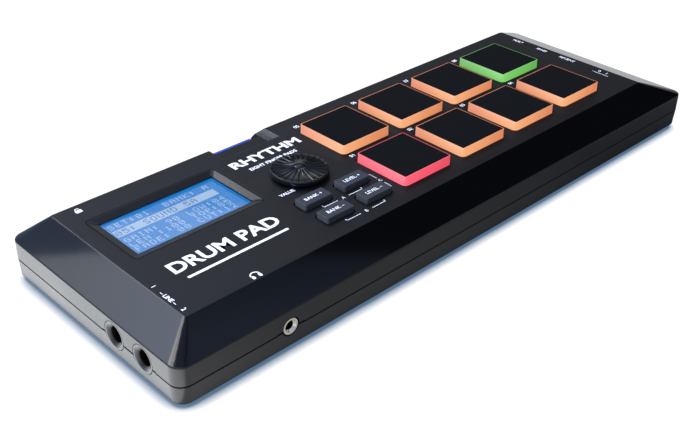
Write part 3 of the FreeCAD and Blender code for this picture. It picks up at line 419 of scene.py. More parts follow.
def make_materials(colours):
    """Every finish of the object, by name."""
    # Real grains, fibres and rolling marks are about 0.1 mm wide. All of them are drawn coarser
    # than that, as coarse as they need to be to show.
    grain = 0.5 * MM
    rubber = 1.41
    made = {
        # ABS: the polished bevels mirror the room, the grained top face only holds its light
        "case_abs": case_plastic(colours),
        # ABS with a satin finish, for the display's frame: soft grey where it faces the light
        "satin_abs": moulded("satin_black_abs", "#0C0C0E", "#111114", 0.28, grain, 0.004 * MM),
        # Acetal, moulded and tumbled: black with a low, waxy shine
        "acetal": moulded("black_acetal", "#0A0A0B", "#0E0E10", 0.13, 0.9 * MM, 0.004 * MM),
        # Silicone rubber, moulded against a sparked tool: dead matte and finely pitted
        "pad_silicone": moulded(
            "matte_black_silicone", "#0B0C0E", "#0F1012", 0.7, grain, 0.02 * MM, rubber, 0.1
        ),
        # Silicone rubber with a soft-touch coat: dark grey and dusty in the light
        "key_silicone": moulded(
            "grey_key_silicone", "#33353A", "#393B40", 0.55, grain, 0.012 * MM, rubber, 0.3
        ),
        # Nitrile rubber: grey black, worn by the table
        "foot_rubber": moulded("nitrile_rubber", "#161616", "#1F1F1F", 0.8, grain, 0.03 * MM),
        # Nylon with glass fibre: a dry dark shine, for the jacks' bodies
        "jack_nylon": moulded("glass_filled_nylon", "#0A0A0B", "#0E0E10", 0.3, 0.8 * MM, 0.004 * MM),
        # Nylon of the line jacks: satin on its face, with painted shade that makes it dull and black down
        # its mouth
        "jack_shaded_mouth": shaded_mouth_nylon(),
        # Polycarbonate, moulded blue: a clean even colour with a soft shine
        "card_shell": moulded("blue_polycarbonate", "#1F3FA8", "#2448B8", 0.35, grain, 0.006 * MM),
        # Polyester: the dry dark grey of switch cases
        "switch_case": moulded("black_polyester", "#141415", "#1A1A1B", 0.45, grain, 0.008 * MM),
        # Epoxy moulded round the chips: charcoal with a sandblasted look
        "chip_epoxy": moulded("moulded_epoxy", "#1B1C1E", "#222325", 0.6, 0.25 * MM, 0.01 * MM),
        # Epoxy resin of the lamps: milky from inside
        "lamp_resin": moulded("milky_lamp_resin", "#E9E6DA", "#F2EFE4", 0.3, 1.0 * MM, 0.004 * MM),
        # Polyester film printed with carbon: brown and even
        "sensor_film": moulded("carbon_printed_film", "#4A3A22", "#5A472B", 0.5, 0.8 * MM, 0.005 * MM),
        # Vinyl drawn over flat wires: pale grey
        "cable_vinyl": moulded("grey_vinyl", "#A9AAAE", "#B6B7BA", 0.5, 0.7 * MM, 0.006 * MM),
        # Tin-plated steel sheet, rolled: pale and softly streaked
        "tinned_steel": plated("tinned_steel", "#B9BABB", 0.34, 1.2 * MM),
        # Bright nickel on a turned brass ring: warm white and mirror-like
        "bright_nickel": plated("bright_nickel", "#E6E0D2", 0.14, 0.7 * MM),
        # Nickel deep in a jack: nearly black, since hardly any light gets there
        "sleeve_nickel": plated("shaded_nickel", "#34322E", 0.45, 0.9 * MM),
        # Black zinc on steel screws: dark, with a cold shine
        "black_zinc": plated("black_zinc_steel", "#3A3A3E", 0.36, grain),
        # Acrylic: clear, and glossy where it mirrors the room
        "clear_sheet": clear_acrylic(),
        # Liquid crystal glass: the blue of its lamp, and pale or blue marks on it
        "lcd_glass": backlit_glass(colours),
        "lcd_light": crystal_mark("pale_crystal_marks", colours.screen_marks, colours.mark_strength),
        "lcd_dark": crystal_mark("blue_crystal_marks", colours.screen_dark, colours.mark_strength),
        # Glass laminate: green, with a fine weave
        "laminate": green_laminate(),
        # Printing ink: flat white on the black case
        "ink": printed_ink(colours),
    }
    # Silicone over a lamp: a milky wall that glows in the lamp's colour, with painted light that makes it
    # brightest at its front left corner
    for light in ("red", "orange", "green"):
        near, far = getattr(colours, light + "_bright"), getattr(colours, light + "_deep")
        made["lit_" + light] = lit_silicone("silicone_lit_" + light, near, far, colours)
    return made


FINISHES = {}


def finish(name):
    """A finish, made with all the others the first time one is asked for."""
    if not FINISHES:
        FINISHES.update(make_materials(bpy.context.scene.drum_pad_colours))
    return FINISHES[name]


def dress(name, *nodes):
    """Gives CAD nodes their finish."""
    for node in nodes:
        slots = NODES[node].data.materials
        slots.clear()
        slots.append(finish(name))


# Mesh helpers


def round_loop(x, y, z, length, width, radius, steps=CORNER_STEPS):
    """The points of a rectangle with round corners, anticlockwise from above."""
    points = []
    for turn, (side_x, side_y) in enumerate(((1, -1), (1, 1), (-1, 1), (-1, -1))):
        centre_x = x + side_x * (length / 2 - radius)
        centre_y = y + side_y * (width / 2 - radius)
        for step in range(steps + 1):
            angle = math.radians(90 * (turn - 1 + step / steps))
            points.append((centre_x + radius * math.cos(angle), centre_y + radius * math.sin(angle), z))
    return points


def ring_loop(x, y, z, radius, count):
    """The points of a circle, anticlockwise from above."""
    turns = [2 * math.pi * step / count for step in range(count)]
    return [(x + radius * math.cos(t), y + radius * math.sin(t), z) for t in turns]


def square_loop(centre, size, radius, z):
    """The points of a square with round corners."""
    return round_loop(centre.x, centre.y, z, size, size, radius)


def loft(builder, loops, closed=False):
    """Faces between loops of as many points. A closed loft joins the last loop to the first."""
    rows = [[builder.verts.new(point) for point in loop] for loop in loops]
    pairs = list(zip(rows, rows[1:]))
    if closed:
        pairs.append((rows[-1], rows[0]))
    for below, above in pairs:
        for index in range(len(below)):
            after = (index + 1) % len(below)
            builder.faces.new((below[index], below[after], above[after], above[index]))
    if not closed:
        builder.faces.new(list(reversed(rows[0])))
        builder.faces.new(rows[-1])


def add_plate(builder, loop, thickness=INK_LIFT):
    """Adds a flat plate that stands on a loop."""
    loft(builder, [loop, [(x, y, z + thickness) for x, y, z in loop]])


def mesh_from(builder, name, sharp=SHARP_ANGLE):
    """A mesh with outward faces, smooth but for its sharp edges."""
    bmesh.ops.recalc_face_normals(builder, faces=builder.faces[:])
    mesh = bpy.data.meshes.new(name)
    builder.to_mesh(mesh)
    builder.free()
    mesh.polygons.foreach_set("use_smooth", [True] * len(mesh.polygons))
    mesh.set_sharp_from_angle(angle=sharp)
    return mesh


def piece(name, made, finish_name, body, replaced=()):
    """Makes a piece of a mesh or of faces in the making. It rides on a body, and may stand for
    CAD nodes and take a material slot."""
    mesh = mesh_from(made, name) if isinstance(made, bmesh.types.BMesh) else made
    shape = bpy.data.objects.new(name, mesh)
    bpy.context.scene.collection.objects.link(shape)
    mesh.materials.clear()
    mesh.materials.append(finish(finish_name))
    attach(shape, body)
    if replaced:
        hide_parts(*replaced)


# Printed words and marks


def words_mesh(words, height, stroke):
    """Flat words in the plain built-in letters, centred on the origin."""
    curve = bpy.data.curves.new("words", "FONT")
    curve.body = words
    curve.size = height
    curve.align_x = "CENTER"
    curve.align_y = "CENTER"
    curve.resolution_u = WORD_DETAIL
    curve.extrude = INK_LIFT / 2
    curve.offset = stroke
    holder = bpy.data.objects.new("words", curve)
    bpy.context.scene.collection.objects.link(holder)
    graph = bpy.context.evaluated_depsgraph_get()
    mesh = bpy.data.meshes.new_from_object(holder.evaluated_get(graph))
    bpy.data.objects.remove(holder)
    bpy.data.curves.remove(curve)
    return mesh


def add_words(builder, words, x, y, height, stroke, turn=0.0, stretch=1.0, z=TOP_Z):
    """Adds printed words to a mesh in the making. The stroke is how far the ink widens them."""
    mesh = words_mesh(words, height, stroke)
    place = Matrix.Translation((x, y, z + INK_LIFT / 2)) @ Matrix.Rotation(turn, 4, "Z")
    mesh.transform(place @ Matrix.Diagonal((stretch, 1.0, 1.0, 1.0)))
    builder.from_mesh(mesh)
    bpy.data.meshes.remove(mesh)


def add_dots(builder, words, left, y, z, cell, dot, ink):
    """Adds dot letters, one to a cell."""
    half = dot * 0.5
    for column, letter in enumerate(words):
        for row, bits in enumerate(DOT_LETTERS.get(letter, ())):
            for step in range(DOTS_WIDE):
                if bits >> (DOTS_WIDE - 1 - step) & 1:
                    x = left + column * cell + (step - DOTS_WIDE // 2) * dot
                    rise = y + (DOTS_HIGH // 2 - row) * dot
                    loop = [(x - half, rise - half, z), (x + half, rise - half, z)]
                    loop += [(x + half, rise + half, z), (x - half, rise + half, z)]
                    add_plate(builder, loop, ink)


def add_line(builder, points, width):
    """Adds a printed line through plan points, as one flat bar per stretch."""
    for start, end in zip(points, points[1:]):
        along = Vector((end[0] - start[0], end[1] - start[1], 0)).normalized() * width / 2
        side = Vector((-along.y, along.x, 0))
        first = Vector((start[0], start[1], TOP_Z)) - along
        last = Vector((end[0], end[1], TOP_Z)) + along
        add_plate(builder, [first - side, last - side, last + side, first + side])


def add_arc(builder, x, y, radius, start, end, width):
    """Adds a printed arc between two angles in degrees."""
    angles = [math.radians(start + (end - start) * step / ARC_STEPS) for step in range(ARC_STEPS + 1)]
    sides = []
    for reach in (radius + width / 2, radius - width / 2):
        sides.append([(x + reach * math.cos(a), y + reach * math.sin(a), TOP_Z) for a in angles])
    add_plate(builder, sides[0] + sides[1][::-1])


# Geometry node trees


def new_tree(name, sockets):
    """A geometry tree with named inputs and one geometry output."""
    tree = bpy.data.node_groups.new(name, "GeometryNodeTree")
    for label, kind in sockets.items():
        tree.interface.new_socket(name=label, in_out="INPUT", socket_type="NodeSocket" + kind)
    tree.interface.new_socket(name="Geometry", in_out="OUTPUT", socket_type="NodeSocketGeometry")
    return tree, add_node(tree, "NodeGroupInput").outputs


def close_tree(tree, geometry, material, place):
    """Ends a tree: moves the shape to its place, makes its copies real and gives it its finish."""
    inputs = {"Geometry": geometry, "Translation": place}
    moved = add_node(tree, "GeometryNodeTransform", inputs=inputs)
    real = add_node(tree, "GeometryNodeRealizeInstances", inputs={"Geometry": moved.outputs[0]})
    inputs = {"Geometry": real.outputs[0], "Material": material}
    painted = add_node(tree, "GeometryNodeSetMaterial", inputs=inputs)
    add_node(tree, "NodeGroupOutput", inputs={"Geometry": painted.outputs[0]})


def grid_tree():
    """Copies one piece onto the points of a level grid."""
    sockets = {
        "Piece": "Object",
        "Columns": "Int",
        "Rows": "Int",
        "Length": "Float",
        "Width": "Float",
        "Place": "Vector",
        "Material": "Material",
    }
    tree, given = new_tree("pieces_in_a_grid", sockets)
    spans = {"Size X": "Length", "Size Y": "Width", "Vertices X": "Columns", "Vertices Y": "Rows"}
    inputs = {socket: given[label] for socket, label in spans.items()}
    grid = add_node(tree, "GeometryNodeMeshGrid", inputs=inputs)
    one = add_node(tree, "GeometryNodeObjectInfo", inputs={"Object": given["Piece"]})
    inputs = {"Points": grid.outputs["Mesh"], "Instance": one.outputs["Geometry"]}
    copies = add_node(tree, "GeometryNodeInstanceOnPoints", inputs=inputs)
    close_tree(tree, copies.outputs[0], given["Material"], given["Place"])
    return tree


def rib_tree():
    """Radial ribs on a round cap that rises to its hub by a cube law."""
    sockets = {
        "Count": "Int",
        "Inner Radius": "Float",
        "Outer Radius": "Float",
        "Rim Radius": "Float",
        "Hub Radius": "Float",
        "Lift": "Float",
        "Rib Radius": "Float",
        "Place": "Vector",
        "Material": "Material",
    }
    tree, given = new_tree("radial_ribs", sockets)
    start = add_node(tree, "ShaderNodeCombineXYZ", inputs={"X": given["Inner Radius"]})
    end = add_node(tree, "ShaderNodeCombineXYZ", inputs={"X": given["Outer Radius"]})
    inputs = {"Start": start.outputs[0], "End": end.outputs[0]}
    line = add_node(tree, "GeometryNodeCurvePrimitiveLine", inputs=inputs)
    inputs = {"Curve": line.outputs[0], "Count": RIB_STEPS}
    fine = add_node(tree, "GeometryNodeResampleCurve", inputs=inputs)
    spot = add_node(tree, "GeometryNodeInputPosition")
    split = add_node(tree, "ShaderNodeSeparateXYZ", inputs={"Vector": spot.outputs[0]})
    radii = (given["Rim Radius"], given["Hub Radius"])
    share = derive(tree, "SPREAD", split.outputs["X"], *radii, 0.0, 1.0)
    rise = derive(tree, "MULTIPLY", derive(tree, "POWER", share, 3.0), given["Lift"])
    up = add_node(tree, "ShaderNodeCombineXYZ", inputs={"Z": rise})
    inputs = {"Geometry": fine.outputs[0], "Offset": up.outputs[0]}
    bent = add_node(tree, "GeometryNodeSetPosition", inputs=inputs)
    inputs = {"Resolution": RIB_SIDES, "Radius": given["Rib Radius"]}
    section = add_node(tree, "GeometryNodeCurvePrimitiveCircle", inputs=inputs)
    inputs = {"Curve": bent.outputs[0], "Profile Curve": section.outputs[0], "Fill Caps": True}
    rib = add_node(tree, "GeometryNodeCurveToMesh", inputs=inputs)
    spots = add_node(tree, "GeometryNodePoints", inputs={"Count": given["Count"]})
    index = add_node(tree, "GeometryNodeInputIndex")
    step = derive(tree, "DIVIDE", 2 * math.pi, given["Count"])
    spin = derive(tree, "MULTIPLY", index.outputs[0], step)
    turned = add_node(tree, "ShaderNodeCombineXYZ", inputs={"Z": spin})
    inputs = {"Points": spots.outputs[0], "Instance": rib.outputs[0], "Rotation": turned.outputs[0]}
    ribs = add_node(tree, "GeometryNodeInstanceOnPoints", inputs=inputs)
    close_tree(tree, ribs.outputs[0], given["Material"], given["Place"])
    return tree


def shape_from_tree(name, tree, values):
    """The plain mesh that a tree makes with these inputs."""
    holder = bpy.data.objects.new(name, bpy.data.meshes.new(name))
    bpy.context.scene.collection.objects.link(holder)
    modifier = holder.modifiers.new("Shape", "NODES")
    modifier.node_group = tree
    for item in tree.interface.items_tree:
        if item.in_out == "INPUT":
            modifier[item.identifier] = values[item.name]
    bpy.context.view_layer.update()
    graph = bpy.context.evaluated_depsgraph_get()
    mesh = bpy.data.meshes.new_from_object(holder.evaluated_get(graph))
    holder.modifiers.remove(modifier)
    bpy.data.objects.remove(holder)
    mesh.polygons.foreach_set("use_smooth", [True] * len(mesh.polygons))
    mesh.set_sharp_from_angle(angle=SHARP_ANGLE)
    return mesh


# Settings


def length_property(name, description, millimetres):
    """A length that a user may change, in metres."""
    length = millimetres * MM
    return FloatProperty(name=name, description=description, default=length, unit="LENGTH", precision=5)


def colour_property(name, description, code):
    """A colour that a user may change."""
    return FloatVectorProperty(
        name=name,
        description=description,
        default=from_hex(code),
        size=3,
        subtype="COLOR",
        min=0.0,
        max=1.0,
    )


def number_property(name, description, value, top=10.0, bottom=0.0):
    """A plain number that a user may change."""
    return FloatProperty(name=name, description=description, default=value, min=bottom, max=top)


def angle_property(name, description, degrees):
    """An angle that a user may change."""
    angle = math.radians(degrees)
    return FloatProperty(name=name, description=description, default=angle, subtype="ANGLE")


def power_property(name, description, watts):
    """A lamp's power."""
    return FloatProperty(name=name, description=description, default=watts, min=0.0, unit="POWER")


class DrumPadColours(bpy.types.PropertyGroup):
    """Colours and strengths of light."""

    case_black: colour_property("Case", "Plastic of the two case halves", "#050506")
    edge_round: length_property("Edge round", "Rounding of the case's edges as the light sees it", 0.7)
    # Painted shade: the parting line loses its shine over this width
    seam_shade_width: length_property("Parting line", "Width of the dark line between the case halves", 0.34)
    top_roughness: number_property("Top roughness", "How matte the top face is", 0.43, 1.0)
    bevel_roughness: number_property("Bevel roughness", "How matte the bevels are", 0.055, 1.0)
    side_roughness: number_property("Side roughness", "How matte the sides are", 0.34, 1.0)
    ink: colour_property("Ink", "Printed words and marks", "#FFFFFF")
    # The display's blue, and the paler blue of a painted reflection towards its front left corner
    screen_blue: colour_property("Screen", "Display away from its lamp", "#1684DA")
    screen_painted_reflection: colour_property("Screen near its lamp", "Display next to its lamp", "#2883D2")
    screen_marks: colour_property("Screen marks", "Letters and bars that let the light through", "#B0CFF3")
    screen_dark: colour_property("Screen dark marks", "Letters on the pale bar", "#2A6FC0")
    screen_strength: number_property("Screen light", "Strength of the display's lamp", 1.0)
    mark_strength: number_property("Mark light", "Strength of the display's pale marks", 1.0)
    # Painted light: the near colours are where each pad's glow is made brightest, at its front left corner,
    # and the far colours are further off
    red_bright: colour_property("Red near", "Red pad next to its lamp", "#FF5068")
    red_deep: colour_property("Red far", "Red pad away from its lamp", "#DC3448")
    orange_bright: colour_property("Orange near", "Orange pads next to their lamp", "#F5A86C")
    orange_deep: colour_property("Orange far", "Orange pads away from their lamp", "#CE6C3E")
    green_bright: colour_property("Green near", "Green pad next to its lamp", "#70CC58")
    green_deep: colour_property("Green far", "Green pad away from its lamp", "#4EA038")
    pad_milk: colour_property("Pad wall", "Silicone of the pads' walls without its lamp", "#544E4C")
    pad_strength: number_property("Pad light", "Strength of the pads' lamps", 1.0)
    pad_spill: number_property("Pad spill", "Share of that light that falls on the pieces around", 0.2, 1.0)


class DrumPadSizes(bpy.types.PropertyGroup):
    """Sizes of the pieces that are made here."""

    screen_length: length_property("Screen length", "Length of the display that shows", 55.4)
    screen_dot: length_property("Screen dot", "Pitch of the dots of the display's letters", 0.45)
    rim_round: length_property("Pad rim round", "Rounding of a pad's top edges", 0.3)
    rim_radius: length_property("Pad rim corner", "Corner radius of a pad at its top", 0.9)
    base_radius: length_property("Pad base corner", "Corner radius of a pad at the case", 2.0)
    pad_taper: length_property("Pad taper", "How much narrower a pad is at its top", 0.7)
    pad_flange: length_property("Pad flange", "Width of the hidden flange round a pad", 1.6)
    pad_wall: length_property("Pad wall", "Thickness of a pad's lit wall", 2.0)
    flange_thickness: length_property("Flange thickness", "Thickness of that flange", 1.2)
    plate_thickness: length_property("Pad top thickness", "Thickness of a pad's black top", 1.6)
    stem: length_property("Pad stem", "Width of the stem under a pad's top", 14.0)
    dial_hub: length_property("Dial hub", "Radius of the dial's hub", 2.8)
    dial_ribs: IntProperty(name="Dial ribs", description="Ribs round the dial", default=24, min=3, max=96)
    rib_radius: length_property("Dial rib", "Radius of a dial rib", 0.3)
    screw_head: length_property("Screw head", "Radius of a case screw's head", 2.8)
    screw_head_height: length_property("Screw head height", "Height of a case screw's head", 1.8)
    screw_shank: length_property("Screw shank", "Radius of a case screw's shank", 1.4)
    foot_round: length_property("Foot round", "Rounding of a foot's lower edge", 0.5)
    line_width: length_property("Printed line", "Width of the printed lines", 0.28)
    label_height: length_property("Small letters", "Height of the small printed letters", 2.6)
    number_height: length_property("Pad numbers", "Height of the pads' printed numbers", 2.9)
    title_height: length_property("Title", "Height of the title's letters", 9.8)


class DrumPadStage(bpy.types.PropertyGroup):
    """Camera and light."""

    azimuth: angle_property("Azimuth", "Camera's turn round the object", -44.203)
    elevation: angle_property("Elevation", "Camera's height above the horizon", 32.457)
    roll: angle_property("Roll", "Camera's tilt", 0.865)
    distance: length_property("Distance", "Camera's distance from its target", 407.57)
    target_x: length_property("Target X", "Point of the top face that the camera looks at", -59.4)
    target_y: length_property("Target Y", "Point of the top face that the camera looks at", -28.6)
    lens: number_property("Lens", "Focal length in millimetres", 52.95, 300.0, 10.0)
    shift: number_property("Shift", "Camera's sideways shift", 0.01704, 0.1, -0.1)
    key_power: power_property("Key light", "Power of the left lamp", 26.0)
    rear_power: power_property("Rear light", "Power of the rear lamp", 2.2)
    fill_power: power_property("Fill light", "Power of the front lamp", 1.5)
    top_power: power_property("Top light", "Power of the lamp overhead", 8.0)
    card_power: power_property("Table card", "Light of the pale card beside the left end", 0.2)
    lamp_colour: colour_property("Lamps", "Colour of the lamps", "#F6FAFF")
    wall_light: number_property("Wall light", "Brightness of the room's walls", 1.1)
    wall_colour: colour_property("Walls", "Colour of the room's cool walls", "#AEC4F0")
    shine_share: number_property("Floor in the shine", "Share of the floor that shiny faces show", 0.06, 1.0)
    floor_colour: colour_property("Floor", "Floor as the camera sees it", "#FFFFFF")
    floor_grey: colour_property("Floor in the light", "Floor as the lamps see it", "#555555")
    shadow_colour: colour_property("Shadow", "Cool shadow at the object's foot", "#4F6C88")
    shadow_reach: length_property("Shadow reach", "How far that shadow reaches", 8.0)


# Operators


class DRUMPAD_OT_case(bpy.types.Operator):
    """Finishes the two halves of the case."""

    bl_idname = "drumpad.case"
    bl_label = "Case"

    def execute(self, context):
        dress("case_abs", "upper_shell", "lower_shell")
        return {"FINISHED"}


class DRUMPAD_OT_display(bpy.types.Operator):
    """Finishes the display and draws plain readings on its glass."""

    bl_idname = "drumpad.display"
    bl_label = "Display"

    def execute(self, context):
        dress("satin_abs", "display_bezel")
        dress("lcd_glass", "lcd_panel")
        self.build_lens()
        self.build_readings(context.scene.drum_pad_sizes)
        return {"FINISHED"}

    def build_lens(self):
        """The clear sheet, a hair's breadth off the glass below it."""
        low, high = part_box("display_lens")
        x, y = middle("display_lens").xy
        length, width = size_of("display_lens").xy
        air = 0.05 * MM
        edge = 0.1 * MM
        radius = 0.5 * MM
        steps = 3
        builder = bmesh.new()
        loops = [
            round_loop(x, y, low.z + air, length, width, radius, steps),
            round_loop(x, y, high.z - edge, length, width, radius, steps),
            round_loop(x, y, high.z, length - 2 * edge, width - 2 * edge, radius, steps),
        ]
        loft(builder, loops)
        piece("screen_lens", builder, "clear_sheet", "case", ["display_lens"])

    def build_readings(self, sizes):
        """Rows of dot letters in fixed cells, with one reversed row."""
        x, y = middle("display_bezel").xy
        ink = 0.01 * MM
        layer = GLASS_TOP + 0.004 * MM
        columns = 16
        cell = sizes.screen_length * 0.95 / columns
        left = x - cell * (columns - 1) / 2
        dot = sizes.screen_dot
        rows = {
            "SET:01  BANK: A": 10.0,
            "GAIN: 90 LOW:04": -1.4,
            "LEN :100 TOP:85": -5.3,
            "FADE: 00 CUT:12": -9.2,
        }
        pale = bmesh.new()
        for words, rise in rows.items():
            add_dots(pale, words, left, y + rise * MM, layer, cell, dot, ink)
        bar_y = y + 4.5 * MM
        length, width, radius = cell * (columns - 1), 5.0 * MM, 0.1 * MM
        bar = round_loop(x - cell / 2, bar_y, layer, length, width, radius, steps=2)
        add_plate(pale, bar, ink)
        piece("screen_pale_marks", pale, "lcd_light", "case")
        dark = bmesh.new()
        add_dots(dark, "05: SOUND 5A", left, bar_y, layer + 2 * ink, cell, dot * 1.05, ink)
        piece("screen_dark_marks", dark, "lcd_dark", "case")


class DRUMPAD_OT_pads(bpy.types.Operator):
    """Builds the eight pads: a lit wall and a black playing surface each."""

    bl_idname = "drumpad.pads"
    bl_label = "Pads"

    def execute(self, context):
        lights = {1: "red", PAD_COUNT: "green"}
        for number in range(1, PAD_COUNT + 1):
            light = lights.get(number, "orange")
            self.build_wall(number, light, context.scene.drum_pad_sizes)
            self.build_face(number, context.scene.drum_pad_sizes)
        return {"FINISHED"}

    def build_wall(self, number, light, sizes):
        """The see-through wall, its flange and its rounded rim."""
        node = "pad_skirt_%d" % number
        low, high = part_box(node)
        centre = middle(node)
        base = high.x - low.x - 2 * sizes.pad_flange
        rim = base - sizes.pad_taper
        flange = base + 2 * sizes.pad_flange
        hollow = rim - 2 * sizes.pad_wall
        pocket = size_of("pad_top_%d" % number).x
        flange_z = low.z + sizes.flange_thickness
        plate_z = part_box("pad_top_%d" % number)[1].z - sizes.plate_thickness
        round_edge = sizes.rim_round
        corner, base_corner = sizes.rim_radius, sizes.base_radius
        # Size, corner radius and height of each loop, from the hollow round the outside and back
        profile = (
            (hollow, corner, low.z),
            (flange, base_corner, low.z),
            (flange, base_corner, flange_z),
            (base, base_corner, flange_z),
            (base, base_corner, TOP_Z),
            (rim + 0.1 * MM, corner + 0.35 * MM, high.z - 1.0 * MM),
            (rim, corner, high.z - round_edge * 0.6),
            (rim - 0.25 * round_edge, corner, high.z - round_edge * 0.2),
            (rim - round_edge, corner, high.z),
            (pocket + 0.06 * MM, corner * 0.7, high.z),
            (pocket + 0.04 * MM, corner * 0.7, plate_z - 0.02 * MM),
            (hollow, corner, plate_z - 0.02 * MM),
        )
        builder = bmesh.new()
        loft(builder, [square_loop(centre, *row) for row in profile], closed=True)
        mesh = mesh_from(builder, "pad_wall_%d" % number)
        # Painted light: each pad's glow is brightest at its front left corner, which stands in for its lamp
        # here, and it fades over most of the way across
        lamp = Vector((centre.x - base / 2, centre.y - base / 2))
        full_reach = base * 1.25
        from_painted_corner = [min(1.0, (vertex.co.xy - lamp).length / full_reach) for vertex in mesh.vertices]
        mesh.attributes.new("painted_corner_distance", "FLOAT", "POINT").data.foreach_set("value", from_painted_corner)
        piece("pad_wall_%d" % number, mesh, "lit_%s" % light, "pad_%d" % number, [node])

    def build_face(self, number, sizes):
        """The black playing surface with soft edges, and the stem under it."""
        node = "pad_top_%d" % number
        low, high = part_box(node)
        size = size_of(node).x
        plate_z = high.z - sizes.plate_thickness
        edge = 0.3 * MM
        # Size and height of each loop, from the stem's foot to the soft edge
        profile = (
            (sizes.stem, low.z),
            (sizes.stem, plate_z),
            (size, plate_z),
            (size, high.z - edge),
            (size - 0.5 * edge, high.z - 0.3 * edge),
            (size - 1.6 * edge, high.z),
            (size - 6 * edge, high.z),
        )
        builder = bmesh.new()
        loft(builder, [square_loop(middle(node), across, 0.5 * MM, z) for across, z in profile])
        piece("pad_face_%d" % number, builder, "pad_silicone", "pad_%d" % number, [node])


class DRUMPAD_OT_dial(bpy.types.Operator):
    """Builds the flat dial: a turned cap with a hub, a rounded rim and radial ribs."""

    bl_idname = "drumpad.dial"
    bl_label = "Dial"

    def execute(self, context):
        dress("tinned_steel", "encoder_shaft")
        self.build_dial(context.scene.drum_pad_sizes)
        return {"FINISHED"}

    def build_dial(self, sizes):
        """The cap, turned from one profile, and the ribs on it."""
        low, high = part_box("data_dial")
        x, y = middle("data_dial").xy
        radius = (high.x - low.x) / 2
        hub = sizes.dial_hub
        rim = radius - 0.9 * MM
        side_top = low.z + 2.4 * MM
        rim_z = side_top - 0.16 * MM
        lift = 0.9 * MM
        shaft = size_of("encoder_shaft").x / 2 + 0.05 * MM
        shaft_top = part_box("encoder_shaft")[1].z + 0.1 * MM
        collar = 4.1 * MM
        collar_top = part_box("encoder_body")[1].z + 0.5 * MM
        # Radius and height of each ring: down the bore, out along the bottom, up the side to the rim
        profile = [
            (shaft, shaft_top),
            (shaft, collar_top),
            (collar, collar_top),
            (collar, low.z),
            (radius - 0.5 * MM, low.z),
            (radius - 0.15 * MM, low.z + 0.15 * MM),
            (radius, low.z + 0.5 * MM),
            (radius, side_top - 0.75 * MM),
            (radius - 0.12 * MM, side_top - 0.3 * MM),
            (radius - 0.4 * MM, side_top - 0.08 * MM),
            (radius - 0.7 * MM, side_top - 0.05 * MM),
            (rim, rim_z),
        ]
        # The cap rises to its hub by a cube law, and the hub ends in a dome
        for step in range(1, 11):
            share = step / 10
            profile.append((rim + (hub - rim) * share, rim_z + lift * share ** 3))
        dome = high.z - rim_z - lift
        for step in range(1, 6):
            angle = math.radians(90 * step / 6)
            profile.append((hub * math.cos(angle), high.z - dome * (1 - math.sin(angle))))
        builder = bmesh.new()
        loft(builder, [ring_loop(x, y, z, reach, DIAL_SIDES) for reach, z in profile])
        cap = mesh_from(builder, "dial_cap", sharp=math.radians(40))
        piece("dial_cap", cap, "acetal", "dial", ["data_dial"])
        values = {
            "Count": sizes.dial_ribs,
            "Inner Radius": hub * 0.75,
            "Outer Radius": radius - 0.5 * MM,
            "Rim Radius": rim,
            "Hub Radius": hub,
            "Lift": lift,
            "Rib Radius": sizes.rib_radius,
            "Place": (x, y, rim_z),
            "Material": finish("acetal"),
        }
        ribs = shape_from_tree("dial_ribs", rib_tree(), values)
        piece("dial_ribs", ribs, "acetal", "dial", ())


class DRUMPAD_OT_keys(bpy.types.Operator):
    """Finishes the four rubber keys and prints their marks."""

    bl_idname = "drumpad.keys"
    bl_label = "Keys"

    def execute(self, context):
        for number, words in enumerate(("BANK –", "LEVEL –", "BANK +", "LEVEL +"), start=1):
            cap = "key_cap_%d" % number
            dress("key_silicone", cap)
            dress("switch_case", "key_plunger_%d" % number)
            x, y = middle(cap).xy
            builder = bmesh.new()
            add_words(builder, words, x, y, 2.7 * MM, 0.02 * MM, z=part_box(cap)[1].z)
            piece("key_mark_%d" % number, builder, "ink", "key_%d" % number)
        return {"FINISHED"}


class DRUMPAD_OT_jacks(bpy.types.Operator):
    """Finishes the jacks, the data port, the power switch and the lock slot's plate."""

    bl_idname = "drumpad.jacks"
    bl_label = "Jacks"

    def execute(self, context):
        dress("jack_shaded_mouth", "line_jack_left", "line_jack_right")
        dress("jack_nylon", "phones_jack", "control_jack_out", "control_jack_in")
        dress("sleeve_nickel", "line_jack_sleeves")
        dress("bright_nickel", "phones_jack_ring")
        dress("tinned_steel", "data_port_shell", "power_switch_body", "lock_plate")
        dress("switch_case", "data_port_tongue", "power_switch_slider")
        return {"FINISHED"}


class DRUMPAD_OT_card(bpy.types.Operator):
    """Finishes the memory card and its socket."""

    bl_idname = "drumpad.card"
    bl_label = "Memory card"

    def execute(self, context):
        dress("card_shell", "memory_card")
        dress("tinned_steel", "card_socket")
        return {"FINISHED"}


